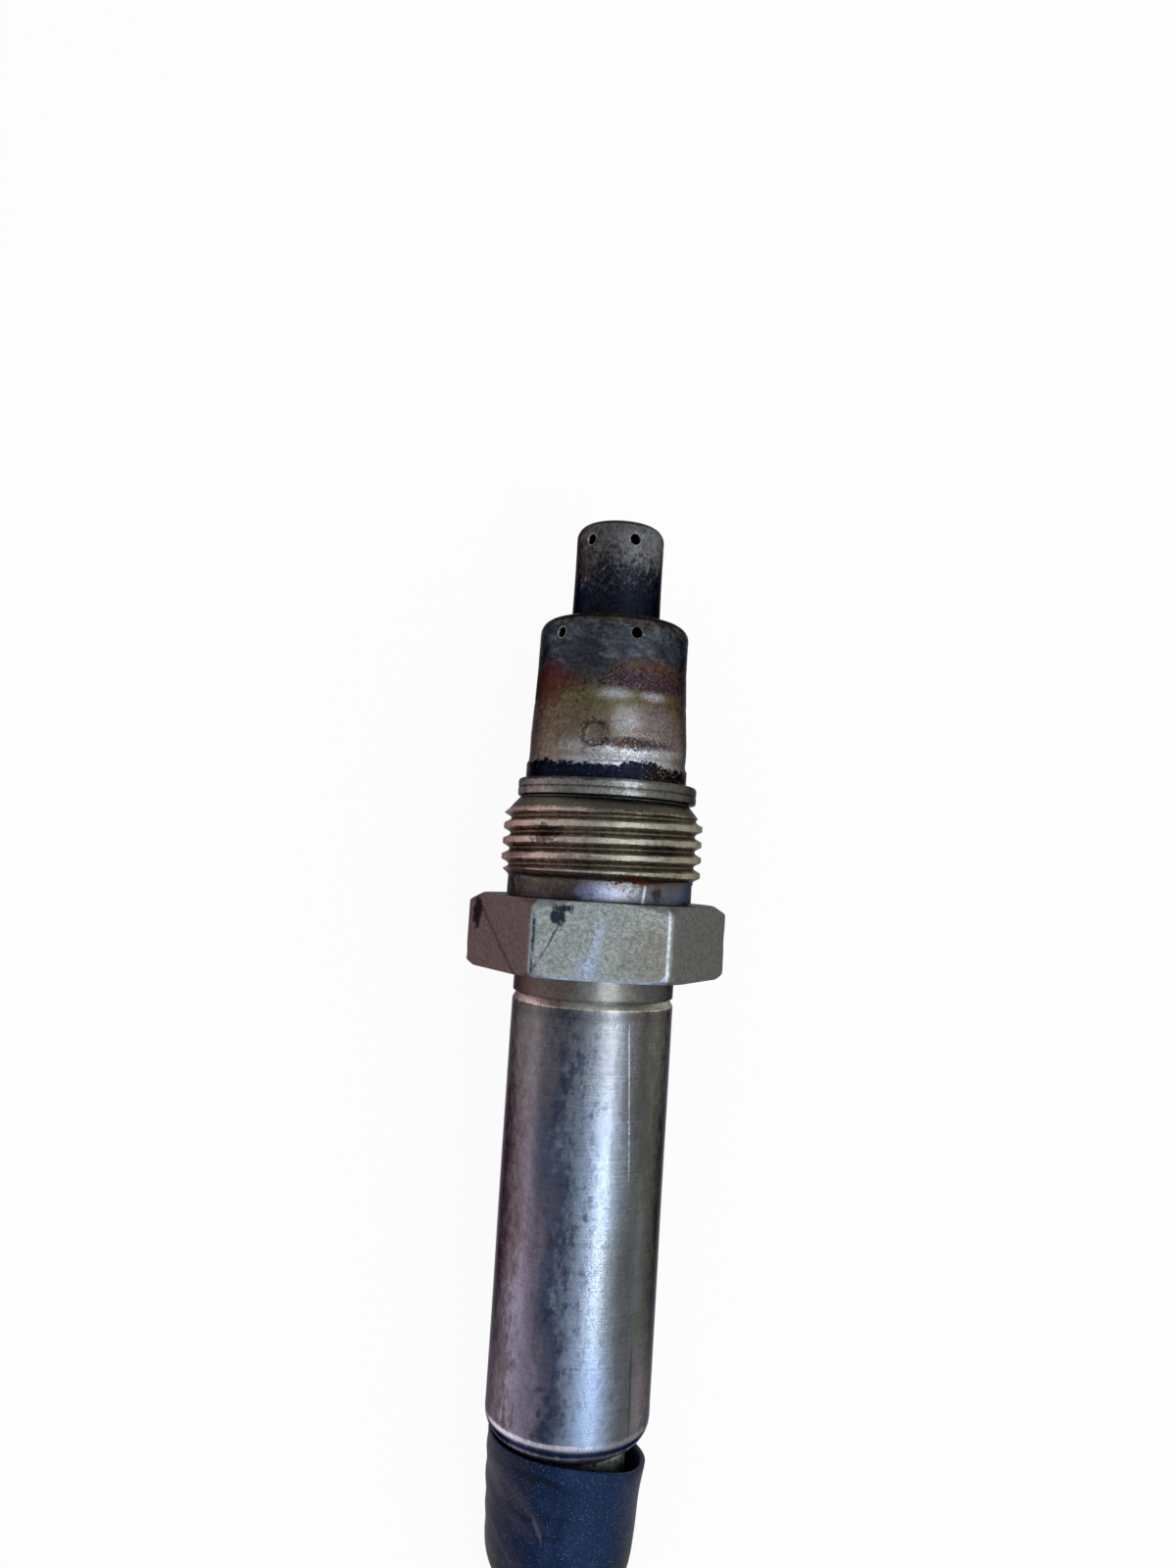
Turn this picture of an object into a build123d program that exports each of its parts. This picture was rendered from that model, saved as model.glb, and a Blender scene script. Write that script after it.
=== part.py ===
from build123d import *
import math
import os

os.makedirs("parts", exist_ok=True)

# Oxygen sensor lying on its side, millimetres. The sensor is drawn upright about its own
# axis: height 0 is the hexagon's front face and + runs to the tip. It is then laid down, so
# that it rests on the rear edge of one hexagon flat and on the end of its rear shell, with
# the tip towards +Y. The origin is on the ground under the middle of the sensor's box.

# ---- driving dimensions ----

# fits
FIT = 0.05                      # radial clearance of a bush, seal or clip in its seat
SLOT_FIT = 0.10                 # clearance around the flat sensing element

# threaded hexagon housing
HEX_FLATS = 22.0
HEX_HEIGHT = 6.95
HEX_FACE_MARGIN = 0.25          # how far the face's round edge stands outside the flats
HEX_BEVEL_ANGLE = 30.0
THREAD_DIAMETER = 20.0          # M20 x 1.5, drawn at its major diameter
THREAD_LENGTH = 7.6
THREAD_LEAD_IN = 1.7
NECK_DIAMETER = 18.0            # plain neck between thread and hexagon
NECK_LENGTH = 1.8
BOSS_DIAMETER = 16.6            # low boss in front of the thread, which carries the ring
BOSS_HEIGHT = 0.2
SPIGOT_LENGTH = 4.2             # front spigot inside the outer tube
FRONT_BORE = 7.2
CERAMIC_BORE = 11.2
CERAMIC_SHOULDER = 3.0          # from the spigot's front back to the ceramic stack
COLLAR_LENGTH = 2.15            # visible collar behind the hexagon
REAR_SPIGOT_LENGTH = 3.0        # inside the rear shell
LIP_HEIGHT = 0.8                # rolled lip that holds the stack
LIP_BORE = 10.0

# seal ring
RING_DIAMETER = 17.6
RING_HEIGHT = 1.75
RING_PLAY = 0.22                # radial play on the tube's skirt
RING_SHIFT = 0.2                # it lies pushed to +X

# outer protection tube
TUBE_WALL = 0.5
SKIRT_DIAMETER = 15.8
SKIRT_LENGTH = 3.3
TUBE_DIAMETER = 15.4
TUBE_FRONT_DIAMETER = 14.7
TUBE_LENGTH = 17.5
TUBE_TAPER_START = 5.9
TUBE_TAPER_END = 12.8
TUBE_CORNER = 1.3
TUBE_HOLE_DEPTH = 1.95          # from the front face back to the hole centres
TUBE_HOLE_ANGLE = 14.0          # of the first hole, from straight up towards +X
WELD_SPOT_HEIGHT = 5.85
WELD_SPOT_ANGLE = -12.0
WELD_SPOT_RADIUS = 0.65
WELD_SPOT_DEPTH = 0.12

# inner protection tube
TIP_DIAMETER = 8.7
TIP_WALL = 0.45
TIP_REACH = 9.85                # beyond the outer tube
TIP_CORNER = 1.3
TIP_FLANGE_DIAMETER = 14.2
TIP_HOLE_DEPTH = 2.05
TIP_HOLE_ANGLE = 17.0
GAS_HOLE_DIAMETER = 1.0
GAS_HOLE_COUNT = 6

# sensing element and the ceramic stack
ELEMENT_WIDTH = 4.2
ELEMENT_THICKNESS = 1.5
ELEMENT_LENGTH = 63.0
ELEMENT_TIP_GAP = 3.8           # from its tip to the inside of the tip tube's end
FRONT_BUSH_LENGTH = 7.0
TALC_LENGTH = 6.0
PACKING_RING_HEIGHT = 0.9
PACKING_RING_BORE = 7.0

# rear shell
SHELL_DIAMETER = 15.6
SHELL_WALL = 0.5
SHELL_LENGTH = 41.1
SHELL_BEVEL = 0.75
SHELL_BEVEL_DEPTH = 0.35
SHELL_CORNER = 2.05
CRIMP_DIAMETER = 11.4           # crimped neck behind the shell
CRIMP_LENGTH = 7.7

# contact holder, springs and wires
HOLDER_DIAMETER = 12.8
HOLDER_LENGTH = 18.0
HOLDER_GAP = 3.5                # from the rear spigot back to the holder
HOLDER_SPLIT = 0.2
HOLDER_SLOT_WIDTH = 7.0
HOLDER_SLOT_HEIGHT = 3.5
CLAMP_WALL = 0.4
CLAMP_LENGTH = 6.0
CLAMP_OFFSET = 6.0
SPRING_WIDTH = 0.9
SPRING_THICKNESS = 0.35
SPRING_LENGTH = 12.0
SPRING_CONTACT = 7.6            # from the holder's rear to where it touches the element
SPRING_CONTACT_LENGTH = 1.4
SPRING_HEEL = 5.0
WIRE_DIAMETER = 1.5
WIRE_PITCH = 2.3
WIRE_ROW_OFFSET = 1.9
SLEEVE_WALL = 0.3
SLEEVE_LENGTH = 5.0
GROMMET_LENGTH = 13.8
GROMMET_SHOULDER = 1.6
GROMMET_RECESS = 0.5            # from the crimped neck's end in to the grommet
WIRE_TAIL = 2.0                 # bare wires between the crimped neck and the cable

# rubber boot
BOOT_MOUTH_DIAMETER = 15.1
BOOT_WAIST_DIAMETER = 13.5
BOOT_LIP_WALL = 0.45
BOOT_LIP_OVERLAP = 1.1          # its high side reaches over the shell's round corner
BOOT_MOUTH_DROP = 2.8           # how far the +X and lower sides gape back
BOOT_SLEEVE_LENGTH = 12.2
BOOT_SHOULDER = 3.0
BOOT_NECK_DIAMETER = 10.0
BOOT_END_DIAMETER = 8.4
BOOT_LENGTH = 39.2
BOOT_FUNNEL = 4.0               # depth over which the mouth narrows to the crimped neck
BOOT_CAVITY_STEP = 1.0          # how much narrower it is at the cable's end

# cable and its coil
CABLE_DIAMETER = 6.5
CABLE_GUIDE = 22.0              # how far the boot guides the cable along the axis
GROUND_GAP = 0.05
COIL_RADIUS = 32.5              # at the middle of its turns
COIL_EDGE = 1.5
COIL_ENTRY_ANGLE = 180.0
COIL_LOWER_ARC = 310.0          # the turn on the ground, from where the cable comes in
COIL_UPPER_ARC = 67.0           # the turn on top, up to where the cable leaves
COIL_EXIT_ANGLE = 195.0         # about the coil's centre, from +X
TIE_ANGLE = 187.5
TIE_THICKNESS = 1.0
TIE_WIDTH = 4.8
TIE_HEAD = (5.0, 7.0, 4.2)

# connector
PLUG_WIDTH = 22.0
PLUG_HEIGHT = 16.0
PLUG_LENGTH = 32.0
PLUG_CORNER = 3.0
SOCKET_WALL = 2.4
SOCKET_DEPTH = 16.0
POCKET_WALL = 3.2
REAR_POCKET_DEPTH = 8.0
SEAL_THICKNESS = 6.0
PIN_WIDTH = 1.5
PIN_THICKNESS = 0.8
PIN_REACH = 8.5
PIN_PITCH = 4.4
PIN_ROW_OFFSET = 2.75
BARREL_DIAMETER = 1.6
BARREL_SETBACK = 1.0
LEAD_DIAMETER = 1.0
LEAD_GATHER = 0.85              # the wires' pattern in the cable, against that in the sensor
CAP_LENGTH = 6.0
CAP_INSET = 1.0
CAP_WALL = 2.5
CAP_FLOOR = 1.5
SNOUT_DIAMETER = 11.0
SNOUT_END_DIAMETER = 8.6
SNOUT_LENGTH = 8.0
LATCH_WIDTH = 9.0
LATCH_LENGTH = 8.0
LATCH_CREST = 2.0
LATCH_SETBACK = 2.0
LATCH_HEIGHT = 2.2
SLIDER_LENGTH = 10.0
SLIDER_HEIGHT = 2.0
RAIL_WIDTH = 1.6
RAIL_LENGTH = 14.0
RAIL_SETBACK = 2.0

# ---- heights along the sensor's axis ----

hex_rear = -HEX_HEIGHT
thread_front = NECK_LENGTH + THREAD_LENGTH
boss_front = thread_front + BOSS_HEIGHT
spigot_front = boss_front + SPIGOT_LENGTH
stack_front = spigot_front - CERAMIC_SHOULDER
collar_rear = hex_rear - COLLAR_LENGTH
spigot_rear = collar_rear - REAR_SPIGOT_LENGTH
lip_front = spigot_rear + LIP_HEIGHT
tube_front = boss_front + TUBE_LENGTH
tip_front = tube_front + TIP_REACH
shell_rear = collar_rear - SHELL_LENGTH
crimp_rear = shell_rear - CRIMP_LENGTH
holder_front = spigot_rear - HOLDER_GAP
holder_rear = holder_front - HOLDER_LENGTH
sleeve_rear = holder_rear - SLEEVE_LENGTH
element_front = tip_front - TIP_WALL - ELEMENT_TIP_GAP
element_rear = element_front - ELEMENT_LENGTH
grommet_rear = crimp_rear + GROMMET_RECESS
grommet_front = grommet_rear + GROMMET_LENGTH
cable_front = crimp_rear - WIRE_TAIL
boot_high = shell_rear + BOOT_LIP_OVERLAP
boot_rear = boot_high - BOOT_LENGTH
boot_waist = boot_high - BOOT_SLEEVE_LENGTH

# ---- how the sensor lies ----

# It rests on the flat's rear edge, HEX_HEIGHT behind the origin and half the flats out,
# and on the shell's round rear corner, a ring of radius SHELL_CORNER.
corner_ring_radius = SHELL_DIAMETER / 2 - SHELL_CORNER
corner_ring_depth = -(shell_rear + SHELL_CORNER)
rise = HEX_FLATS / 2 - corner_ring_radius
run = corner_ring_depth - HEX_HEIGHT
tilt = math.acos(SHELL_CORNER / math.hypot(rise, run)) - math.atan2(run, rise)
tilt_cos = math.cos(tilt)
tilt_sin = math.sin(tilt)
seat_height = HEX_HEIGHT * tilt_sin + HEX_FLATS / 2 * tilt_cos

tip_ring_radius = TIP_DIAMETER / 2 - TIP_CORNER
tip_reach = (tip_front - TIP_CORNER) * tilt_cos + tip_ring_radius * tilt_sin + TIP_CORNER
boot_reach = boot_rear * tilt_cos - BOOT_END_DIAMETER / 2 * tilt_sin
seat_y = -(tip_reach + boot_reach) / 2
lay_down = Pos(0, seat_y, seat_height) * Rot(math.degrees(tilt) - 90, 0, 0)


def on_axis(height):
    """The place on the ground frame of a point of the sensor's axis."""
    return Vector(0, seat_y + height * tilt_cos, seat_height + height * tilt_sin)


# ---- helpers ----

STANDING = (Align.CENTER, Align.CENTER, Align.MIN)

def turned(points, rounded=()):
    """A solid turned about the axis from (radius, height) points; rounded lists corners."""
    outline = Polyline(*points, close=True)
    face = make_face(outline.edges())
    for corner, radius in rounded:
        vertex = face.vertices().sort_by_distance((*corner, 0))[0]
        face = fillet(vertex, radius)
    return revolve(Plane.XZ * face, Axis.Z)


def ring(outer, inner, low, high):
    """A plain turned ring between two heights, from its two diameters."""
    return turned([(inner / 2, low), (outer / 2, low), (outer / 2, high), (inner / 2, high)])


def rod(diameter, low, high, x=0, y=0):
    """A round bar parallel to the axis."""
    return Pos(x, y, low) * Cylinder(diameter / 2, high - low, align=STANDING)


def bar(width, depth, low, high):
    """A square-edged bar on the axis."""
    return Pos(0, 0, low) * Box(width, depth, high - low, align=STANDING)


def gas_holes(radius, height, first_angle):
    """The ring of small gas holes, each drilled from the side."""
    holes = []
    for index in range(GAS_HOLE_COUNT):
        angle = first_angle + index * 360 / GAS_HOLE_COUNT
        drill = Cylinder(GAS_HOLE_DIAMETER / 2, 3 * TUBE_WALL)
        holes.append(Rot(0, 0, angle) * Pos(0, -radius, height) * Rot(90, 0, 0) * drill)
    return holes


def wire_places():
    """The two rows of wires, as (x, y) about the axis."""
    return [(column * WIRE_PITCH, row * WIRE_ROW_OFFSET) for row in (-1, 1) for column in (-1, 0, 1)]


def cord_tube(points):
    """A round tube along straight runs joined by arcs as large as the runs allow."""
    runs = [after - before for before, after in zip(points, points[1:])]
    # an arc may use nearly all of an end run, and nearly half of one between two corners
    free = [(0.9 if run in (runs[0], runs[-1]) else 0.45) * run.length for run in runs]
    radii = []
    for place in range(1, len(runs)):
        half_turn = math.radians(runs[place - 1].get_angle(runs[place]) / 2)
        radii.append(min(free[place - 1], free[place]) / math.tan(half_turn))
    print("cord radii", [round(radius, 1) for radius in radii])
    path = FilletPolyline(*points, radius=radii)
    section = Plane(origin=path @ 0, z_dir=path % 0) * Circle(CABLE_DIAMETER / 2)
    tube = sweep(section, path)
    print("cord length", round(path.length, 1), "volume over section",
          round(tube.volume / (math.pi * CABLE_DIAMETER ** 2 / 4), 1))
    return tube


def write(name, shape):
    """One STEP file for one named piece."""
    solids = shape.solids()
    export_step(solids[0] if len(solids) == 1 else Compound(children=list(solids)), f"parts/{name}.step")


# ---- housing ----

def make_hex_housing():
    flats = HEX_FLATS / 2
    blank = Pos(0, 0, hex_rear) * extrude(RegularPolygon(flats, 6, major_radius=False), HEX_HEIGHT)
    face_radius = flats + HEX_FACE_MARGIN
    corner_radius = flats / math.cos(math.radians(30)) + 1
    bevel = (corner_radius - face_radius) * math.tan(math.radians(HEX_BEVEL_ANGLE))
    bevelled = turned([
        (0, hex_rear), (face_radius, hex_rear), (corner_radius, hex_rear + bevel),
        (corner_radius, -bevel), (face_radius, 0), (0, 0),
    ])
    thread = THREAD_DIAMETER / 2
    boss = BOSS_DIAMETER / 2
    neck = NECK_DIAMETER / 2
    spigot = TUBE_DIAMETER / 2 - TUBE_WALL
    collar = SHELL_DIAMETER / 2
    rear_spigot = collar - SHELL_WALL
    stem = turned([
        (0, spigot_rear), (rear_spigot, spigot_rear), (rear_spigot, collar_rear),
        (collar, collar_rear), (collar, hex_rear), (neck, hex_rear), (neck, NECK_LENGTH),
        (thread, NECK_LENGTH + thread - neck), (thread, thread_front - THREAD_LEAD_IN),
        (boss, thread_front), (boss, boss_front), (spigot, boss_front),
        (spigot, spigot_front), (0, spigot_front),
    ])
    bore = turned([
        (0, spigot_rear - 1), (LIP_BORE / 2, spigot_rear - 1), (LIP_BORE / 2, lip_front),
        (CERAMIC_BORE / 2, lip_front), (CERAMIC_BORE / 2, stack_front),
        (FRONT_BORE / 2, stack_front), (FRONT_BORE / 2, spigot_front + 1), (0, spigot_front + 1),
    ])
    return (blank & bevelled) + stem - bore


def make_seal_ring():
    bore = SKIRT_DIAMETER + 2 * RING_PLAY
    plain = ring(RING_DIAMETER, bore, boss_front, boss_front + RING_HEIGHT)
    rims = plain.edges().filter_by(GeomType.CIRCLE).group_by(SortBy.RADIUS)[-1]
    return Pos(RING_SHIFT, 0, 0) * fillet(rims, RING_HEIGHT / 5)


# ---- protection tubes ----

def make_outer_tube():
    skirt = SKIRT_DIAMETER / 2
    foot = TUBE_DIAMETER / 2
    nose = TUBE_FRONT_DIAMETER / 2
    taper_low = boss_front + TUBE_TAPER_START
    taper_high = boss_front + TUBE_TAPER_END
    skirt_top = boss_front + SKIRT_LENGTH
    tip_hole = TIP_DIAMETER / 2 + FIT
    tube = turned([
        (foot - TUBE_WALL, boss_front), (skirt, boss_front), (skirt, skirt_top),
        (foot, skirt_top + skirt - foot), (foot, taper_low), (nose, taper_high), (nose, tube_front),
        (tip_hole, tube_front), (tip_hole, tube_front - TUBE_WALL),
        (nose - TUBE_WALL, tube_front - TUBE_WALL), (nose - TUBE_WALL, taper_high),
        (foot - TUBE_WALL, taper_low),
    ], rounded=[
        ((nose, tube_front), TUBE_CORNER),
        ((nose - TUBE_WALL, tube_front - TUBE_WALL), TUBE_CORNER - TUBE_WALL),
    ])
    for hole in gas_holes(nose, tube_front - TUBE_HOLE_DEPTH, TUBE_HOLE_ANGLE):
        tube -= hole
    spot = Cylinder(WELD_SPOT_RADIUS, 2 * WELD_SPOT_DEPTH)
    spot_place = Rot(0, 0, WELD_SPOT_ANGLE) * Pos(0, -foot, boss_front + WELD_SPOT_HEIGHT)
    return tube - spot_place * Rot(90, 0, 0) * spot


def make_inner_tube():
    outside = TIP_DIAMETER / 2
    inside = outside - TIP_WALL
    flange = TIP_FLANGE_DIAMETER / 2
    tube = turned([
        (inside, spigot_front), (flange, spigot_front), (flange, spigot_front + TIP_WALL),
        (outside, spigot_front + TIP_WALL), (outside, tip_front), (0, tip_front),
        (0, tip_front - TIP_WALL), (inside, tip_front - TIP_WALL),
    ], rounded=[
        ((outside, tip_front), TIP_CORNER),
        ((inside, tip_front - TIP_WALL), TIP_CORNER - TIP_WALL),
    ])
    for hole in gas_holes(outside, tip_front - TIP_HOLE_DEPTH, TIP_HOLE_ANGLE):
        tube -= hole
    return tube


# ---- element and ceramic stack ----

talc_front = stack_front - FRONT_BUSH_LENGTH
rear_bush_front = talc_front - TALC_LENGTH
packing_front = lip_front + PACKING_RING_HEIGHT
slot_width = ELEMENT_WIDTH + 2 * SLOT_FIT
slot_depth = ELEMENT_THICKNESS + 2 * SLOT_FIT
element_slot = bar(slot_width, slot_depth, element_rear, element_front)


def make_stack_piece(low, high):
    return rod(CERAMIC_BORE - 2 * FIT, low, high) - element_slot


# ---- contact holder, springs, wires ----

def make_holder_half(side):
    """One ceramic half; side -1 is the upper half as the sensor lies, 1 the lower."""
    block = rod(HOLDER_DIAMETER, holder_rear, holder_front)
    block -= bar(HOLDER_SLOT_WIDTH, HOLDER_SLOT_HEIGHT, holder_rear, holder_front)
    reach = HOLDER_DIAMETER
    half = Pos(0, side * (reach + HOLDER_SPLIT) / 2, 0) * bar(2 * reach, reach, holder_rear, holder_front)
    return block & half


def make_contact_springs():
    """Bent strips that press on the element's two faces and run back to the wires."""
    wall = HOLDER_SLOT_HEIGHT / 2
    contact = ELEMENT_THICKNESS / 2
    outline = [
        (wall, 0), (wall, SPRING_LENGTH), (wall - SPRING_THICKNESS, SPRING_LENGTH),
        (contact, SPRING_CONTACT + SPRING_CONTACT_LENGTH), (contact, SPRING_CONTACT),
        (wall - SPRING_THICKNESS, SPRING_HEEL), (wall - SPRING_THICKNESS, 0),
    ]
    springs = []
    for x, y in wire_places():
        side = math.copysign(1, y)
        points = [(side * height, holder_rear + place) for height, place in outline]
        face = make_face(Polyline(*points, close=True).edges())
        springs.append(Pos(x, 0, 0) * extrude(Plane.YZ * face, SPRING_WIDTH / 2, both=True))
    return Compound(children=[spring.solid() for spring in springs])


def make_crimp_sleeves():
    sleeves = []
    for x, y in wire_places():
        sleeve = ring(WIRE_DIAMETER + 2 * SLEEVE_WALL, WIRE_DIAMETER, sleeve_rear, holder_rear)
        sleeves.append(Pos(x, y, 0) * sleeve)
    return Compound(children=[sleeve.solid() for sleeve in sleeves])


def make_lead_wires():
    wires = [rod(WIRE_DIAMETER, cable_front, holder_rear, x, y) for x, y in wire_places()]
    return Compound(children=[wire.solid() for wire in wires])


# ---- rear shell and grommet ----

def shell_outline(offset):
    """The shell's outer profile moved in by offset, from its front edge to the axis."""
    radius = SHELL_DIAMETER / 2 - offset
    neck = CRIMP_DIAMETER / 2 - offset
    return radius, neck, shell_rear + offset


def make_rear_shell():
    radius, neck, rear = shell_outline(0)
    inner_radius, inner_neck, inner_rear = shell_outline(SHELL_WALL)
    return turned([
        (inner_radius, collar_rear), (radius - SHELL_BEVEL_DEPTH, collar_rear),
        (radius, collar_rear - SHELL_BEVEL), (radius, rear), (neck, rear), (neck, crimp_rear),
        (inner_neck, crimp_rear), (inner_neck, inner_rear), (inner_radius, inner_rear),
    ], rounded=[
        ((radius, rear), SHELL_CORNER),
        ((inner_radius, inner_rear), SHELL_CORNER - SHELL_WALL),
    ])


def make_grommet():
    seat = CRIMP_DIAMETER / 2 - SHELL_WALL
    wide = SHELL_DIAMETER / 2 - SHELL_WALL - 2 * FIT
    shoulder = shell_rear + SHELL_WALL + FIT
    body = turned([
        (0, grommet_rear), (seat, grommet_rear), (seat, shoulder),
        (wide - GROMMET_SHOULDER, shoulder), (wide, shoulder + GROMMET_SHOULDER),
        (wide, grommet_front), (0, grommet_front),
    ])
    for x, y in wire_places():
        body -= rod(WIRE_DIAMETER, grommet_rear, grommet_front, x, y)
    return body


# ---- cable route ----

# The cable's middle lies at one of these heights: on the ground, on the coil's lower turn, or
# level with the axis of the connector, which lies on the coil's lower turn.
ground_height = GROUND_GAP + CABLE_DIAMETER / 2
upper_height = ground_height + CABLE_DIAMETER
plug_base = 2 * GROUND_GAP + CABLE_DIAMETER
plug_axis = PLUG_HEIGHT / 2             # above the connector's own base
plug_level = plug_base + plug_axis
# The cable starts inside the boot and follows the sensor's axis out of it. Then each point
# is on the ground, a step across and a step back from that start.
CABLE_STEPS = [(0.1, -45.9), (0.5, -60.0), (0.5, -72.0)]
# The tail's points are steps along +X and +Y from where it leaves the coil, and a height.
TAIL_STEPS = [
    (1.33, -4.96, upper_height),
    (7.9, -12.8, (upper_height + plug_level) / 2),
    (17.2, -17.1, plug_level),
    (30.4, -17.1, plug_level),
]

cable_start = on_axis(cable_front)
cable_route = [cable_start, on_axis(cable_front - CABLE_GUIDE)]
for across, back in CABLE_STEPS:
    cable_route.append(Vector(across, cable_start.Y + back, ground_height))
coil_entry = cable_route[-1]
coil_centre = Vector(coil_entry.X + COIL_RADIUS, coil_entry.Y, 0)
exit_turn = math.radians(COIL_EXIT_ANGLE)
coil_exit = Vector(coil_centre.X + COIL_RADIUS * math.cos(exit_turn),
                   coil_centre.Y + COIL_RADIUS * math.sin(exit_turn), upper_height)
tail_route = [coil_exit]
for forward, across, height in TAIL_STEPS:
    tail_route.append(Vector(coil_exit.X + forward, coil_exit.Y + across, height))
plug_entry = tail_route[-1]


# ---- rubber boot ----

def make_rubber_boot(cable):
    mouth = BOOT_MOUTH_DIAMETER / 2
    waist = BOOT_WAIST_DIAMETER / 2
    neck = BOOT_NECK_DIAMETER / 2
    end = BOOT_END_DIAMETER / 2
    shoulder_rear = boot_waist - BOOT_SHOULDER
    skin = turned([
        (0, boot_rear), (end, boot_rear), (neck, shoulder_rear), (waist, boot_waist),
        (mouth, boot_high), (0, boot_high),
    ], rounded=[((waist, boot_waist), BOOT_SHOULDER / 2), ((neck, shoulder_rear), BOOT_SHOULDER / 2)])
    lip = mouth - BOOT_LIP_WALL
    grip = CRIMP_DIAMETER / 2
    funnel_rear = shell_rear - BOOT_FUNNEL
    cavity = turned([
        (0, cable_front), (grip - BOOT_CAVITY_STEP, cable_front), (grip, crimp_rear), (grip, funnel_rear),
        (lip, shell_rear), (lip, boot_high + 1), (0, boot_high + 1),
    ])
    shell_radius = SHELL_DIAMETER / 2
    shell_shape = turned([(0, shell_rear), (shell_radius, shell_rear), (shell_radius, collar_rear),
                          (0, collar_rear)], rounded=[((shell_radius, shell_rear), SHELL_CORNER)])
    # the mouth is cut by a plane that drops towards +X and towards the ground
    slope = BOOT_MOUTH_DROP / BOOT_MOUTH_DIAMETER
    middle = boot_high - BOOT_MOUTH_DROP / 2
    mouth_plane = Plane(origin=(0, 0, middle), z_dir=(slope, slope, 1))
    waste = mouth_plane * Box(4 * mouth, 4 * mouth, 2 * mouth, align=STANDING)
    return lay_down * (skin - cavity - shell_shape - waste) - cable


# ---- coil and tie ----

def coil_arc(low, start_angle, arc):
    """An arc of the coil with a rounded-off square section, start_angle from +X."""
    outline = RectangleRounded(CABLE_DIAMETER, CABLE_DIAMETER, COIL_EDGE)
    section = Pos(COIL_RADIUS, low + CABLE_DIAMETER / 2) * outline
    turn = revolve(Plane.XZ * section, Axis.Z, revolution_arc=arc)
    return Pos(coil_centre.X, coil_centre.Y, 0) * Rot(0, 0, start_angle) * turn


def make_coil_tie():
    tall = GROUND_GAP + 2 * CABLE_DIAMETER + TIE_THICKNESS
    wide = CABLE_DIAMETER + 2 * TIE_THICKNESS
    loop = Box(TIE_WIDTH, wide, tall, align=STANDING)
    opening = Box(TIE_WIDTH + 1, CABLE_DIAMETER, tall - 2 * TIE_THICKNESS, align=STANDING)
    window = Pos(0, 0, TIE_THICKNESS) * opening
    head_wide, head_tall, head_deep = TIE_HEAD
    head = Pos(0, -wide / 2, tall - head_tall) * Box(
        head_wide, head_deep, head_tall, align=(Align.CENTER, Align.MAX, Align.MIN))
    turn = Rot(0, 0, TIE_ANGLE - 270) * Pos(0, -COIL_RADIUS, 0)
    return Pos(coil_centre.X, coil_centre.Y, 0) * turn * (loop - window + head)


def make_cable_coil(tie):
    lower = coil_arc(GROUND_GAP, COIL_ENTRY_ANGLE, COIL_LOWER_ARC)
    upper_start = COIL_EXIT_ANGLE - COIL_UPPER_ARC
    upper = coil_arc(GROUND_GAP + CABLE_DIAMETER, upper_start, COIL_UPPER_ARC)
    return lower + upper - tie


# ---- connector ----

# It is drawn with the cable's end at the origin, below its own axis, and + along Y to its
# open end. Then it is turned to run along +X.
plug_place = Pos(plug_entry.X, plug_entry.Y, plug_base) * Rot(0, 0, -90)
body_rear = CAP_LENGTH
body_front = body_rear + PLUG_LENGTH
socket_floor = body_front - SOCKET_DEPTH
pocket_floor = body_rear + REAR_POCKET_DEPTH


def across_axis(y, x=0.0, z=0.0):
    """A plane square to the connector's axis."""
    return Plane(origin=(x, y, plug_axis + z), x_dir=(-1, 0, 0), z_dir=(0, 1, 0))


def block(width, tall, rear, front, corner):
    """A round-cornered block along the connector's axis."""
    return extrude(across_axis(rear) * RectangleRounded(width, tall, corner), front - rear)


def along(diameter, rear, front, x=0.0, z=0.0):
    """A round bar along the connector's axis."""
    return extrude(across_axis(rear, x, z) * Circle(diameter / 2), front - rear)


def pin_places():
    return [(column * PIN_PITCH, row * PIN_ROW_OFFSET) for row in (-1, 1) for column in (-1, 0, 1)]


def blade(x, z, play=0.0):
    """One flat pin from the wire seal out into the socket."""
    outline = Rectangle(PIN_WIDTH + 2 * play, PIN_THICKNESS + 2 * play)
    return extrude(across_axis(pocket_floor, x, z) * outline, socket_floor + PIN_REACH - pocket_floor)


def make_connector_body():
    body = block(PLUG_WIDTH, PLUG_HEIGHT, body_rear, body_front, PLUG_CORNER)
    body -= block(PLUG_WIDTH - 2 * SOCKET_WALL, PLUG_HEIGHT - 2 * SOCKET_WALL, socket_floor,
                  body_front + 1, PLUG_CORNER / 2)
    body -= block(PLUG_WIDTH - 2 * POCKET_WALL, PLUG_HEIGHT - 2 * POCKET_WALL, body_rear - 1,
                  pocket_floor, PLUG_CORNER / 2)
    for x, z in pin_places():
        body -= blade(x, z, FIT)
    # latch ramp, and the slider's two rails, on top
    ramp_rear = body_front - LATCH_SETBACK - LATCH_LENGTH
    ramp_top = PLUG_HEIGHT + LATCH_HEIGHT
    ramp = Polyline((ramp_rear, PLUG_HEIGHT), (ramp_rear + LATCH_LENGTH, PLUG_HEIGHT),
                    (ramp_rear + LATCH_CREST, ramp_top), (ramp_rear, ramp_top), close=True)
    body += extrude(Plane.YZ * make_face(ramp.edges()), LATCH_WIDTH / 2, both=True)
    rail = Box(RAIL_WIDTH, RAIL_LENGTH, SLIDER_HEIGHT, align=(Align.CENTER, Align.MIN, Align.MIN))
    for side in (-1, 1):
        body += Pos(side * (LATCH_WIDTH + RAIL_WIDTH) / 2, body_rear + RAIL_SETBACK, PLUG_HEIGHT) * rail
    return body


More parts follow.
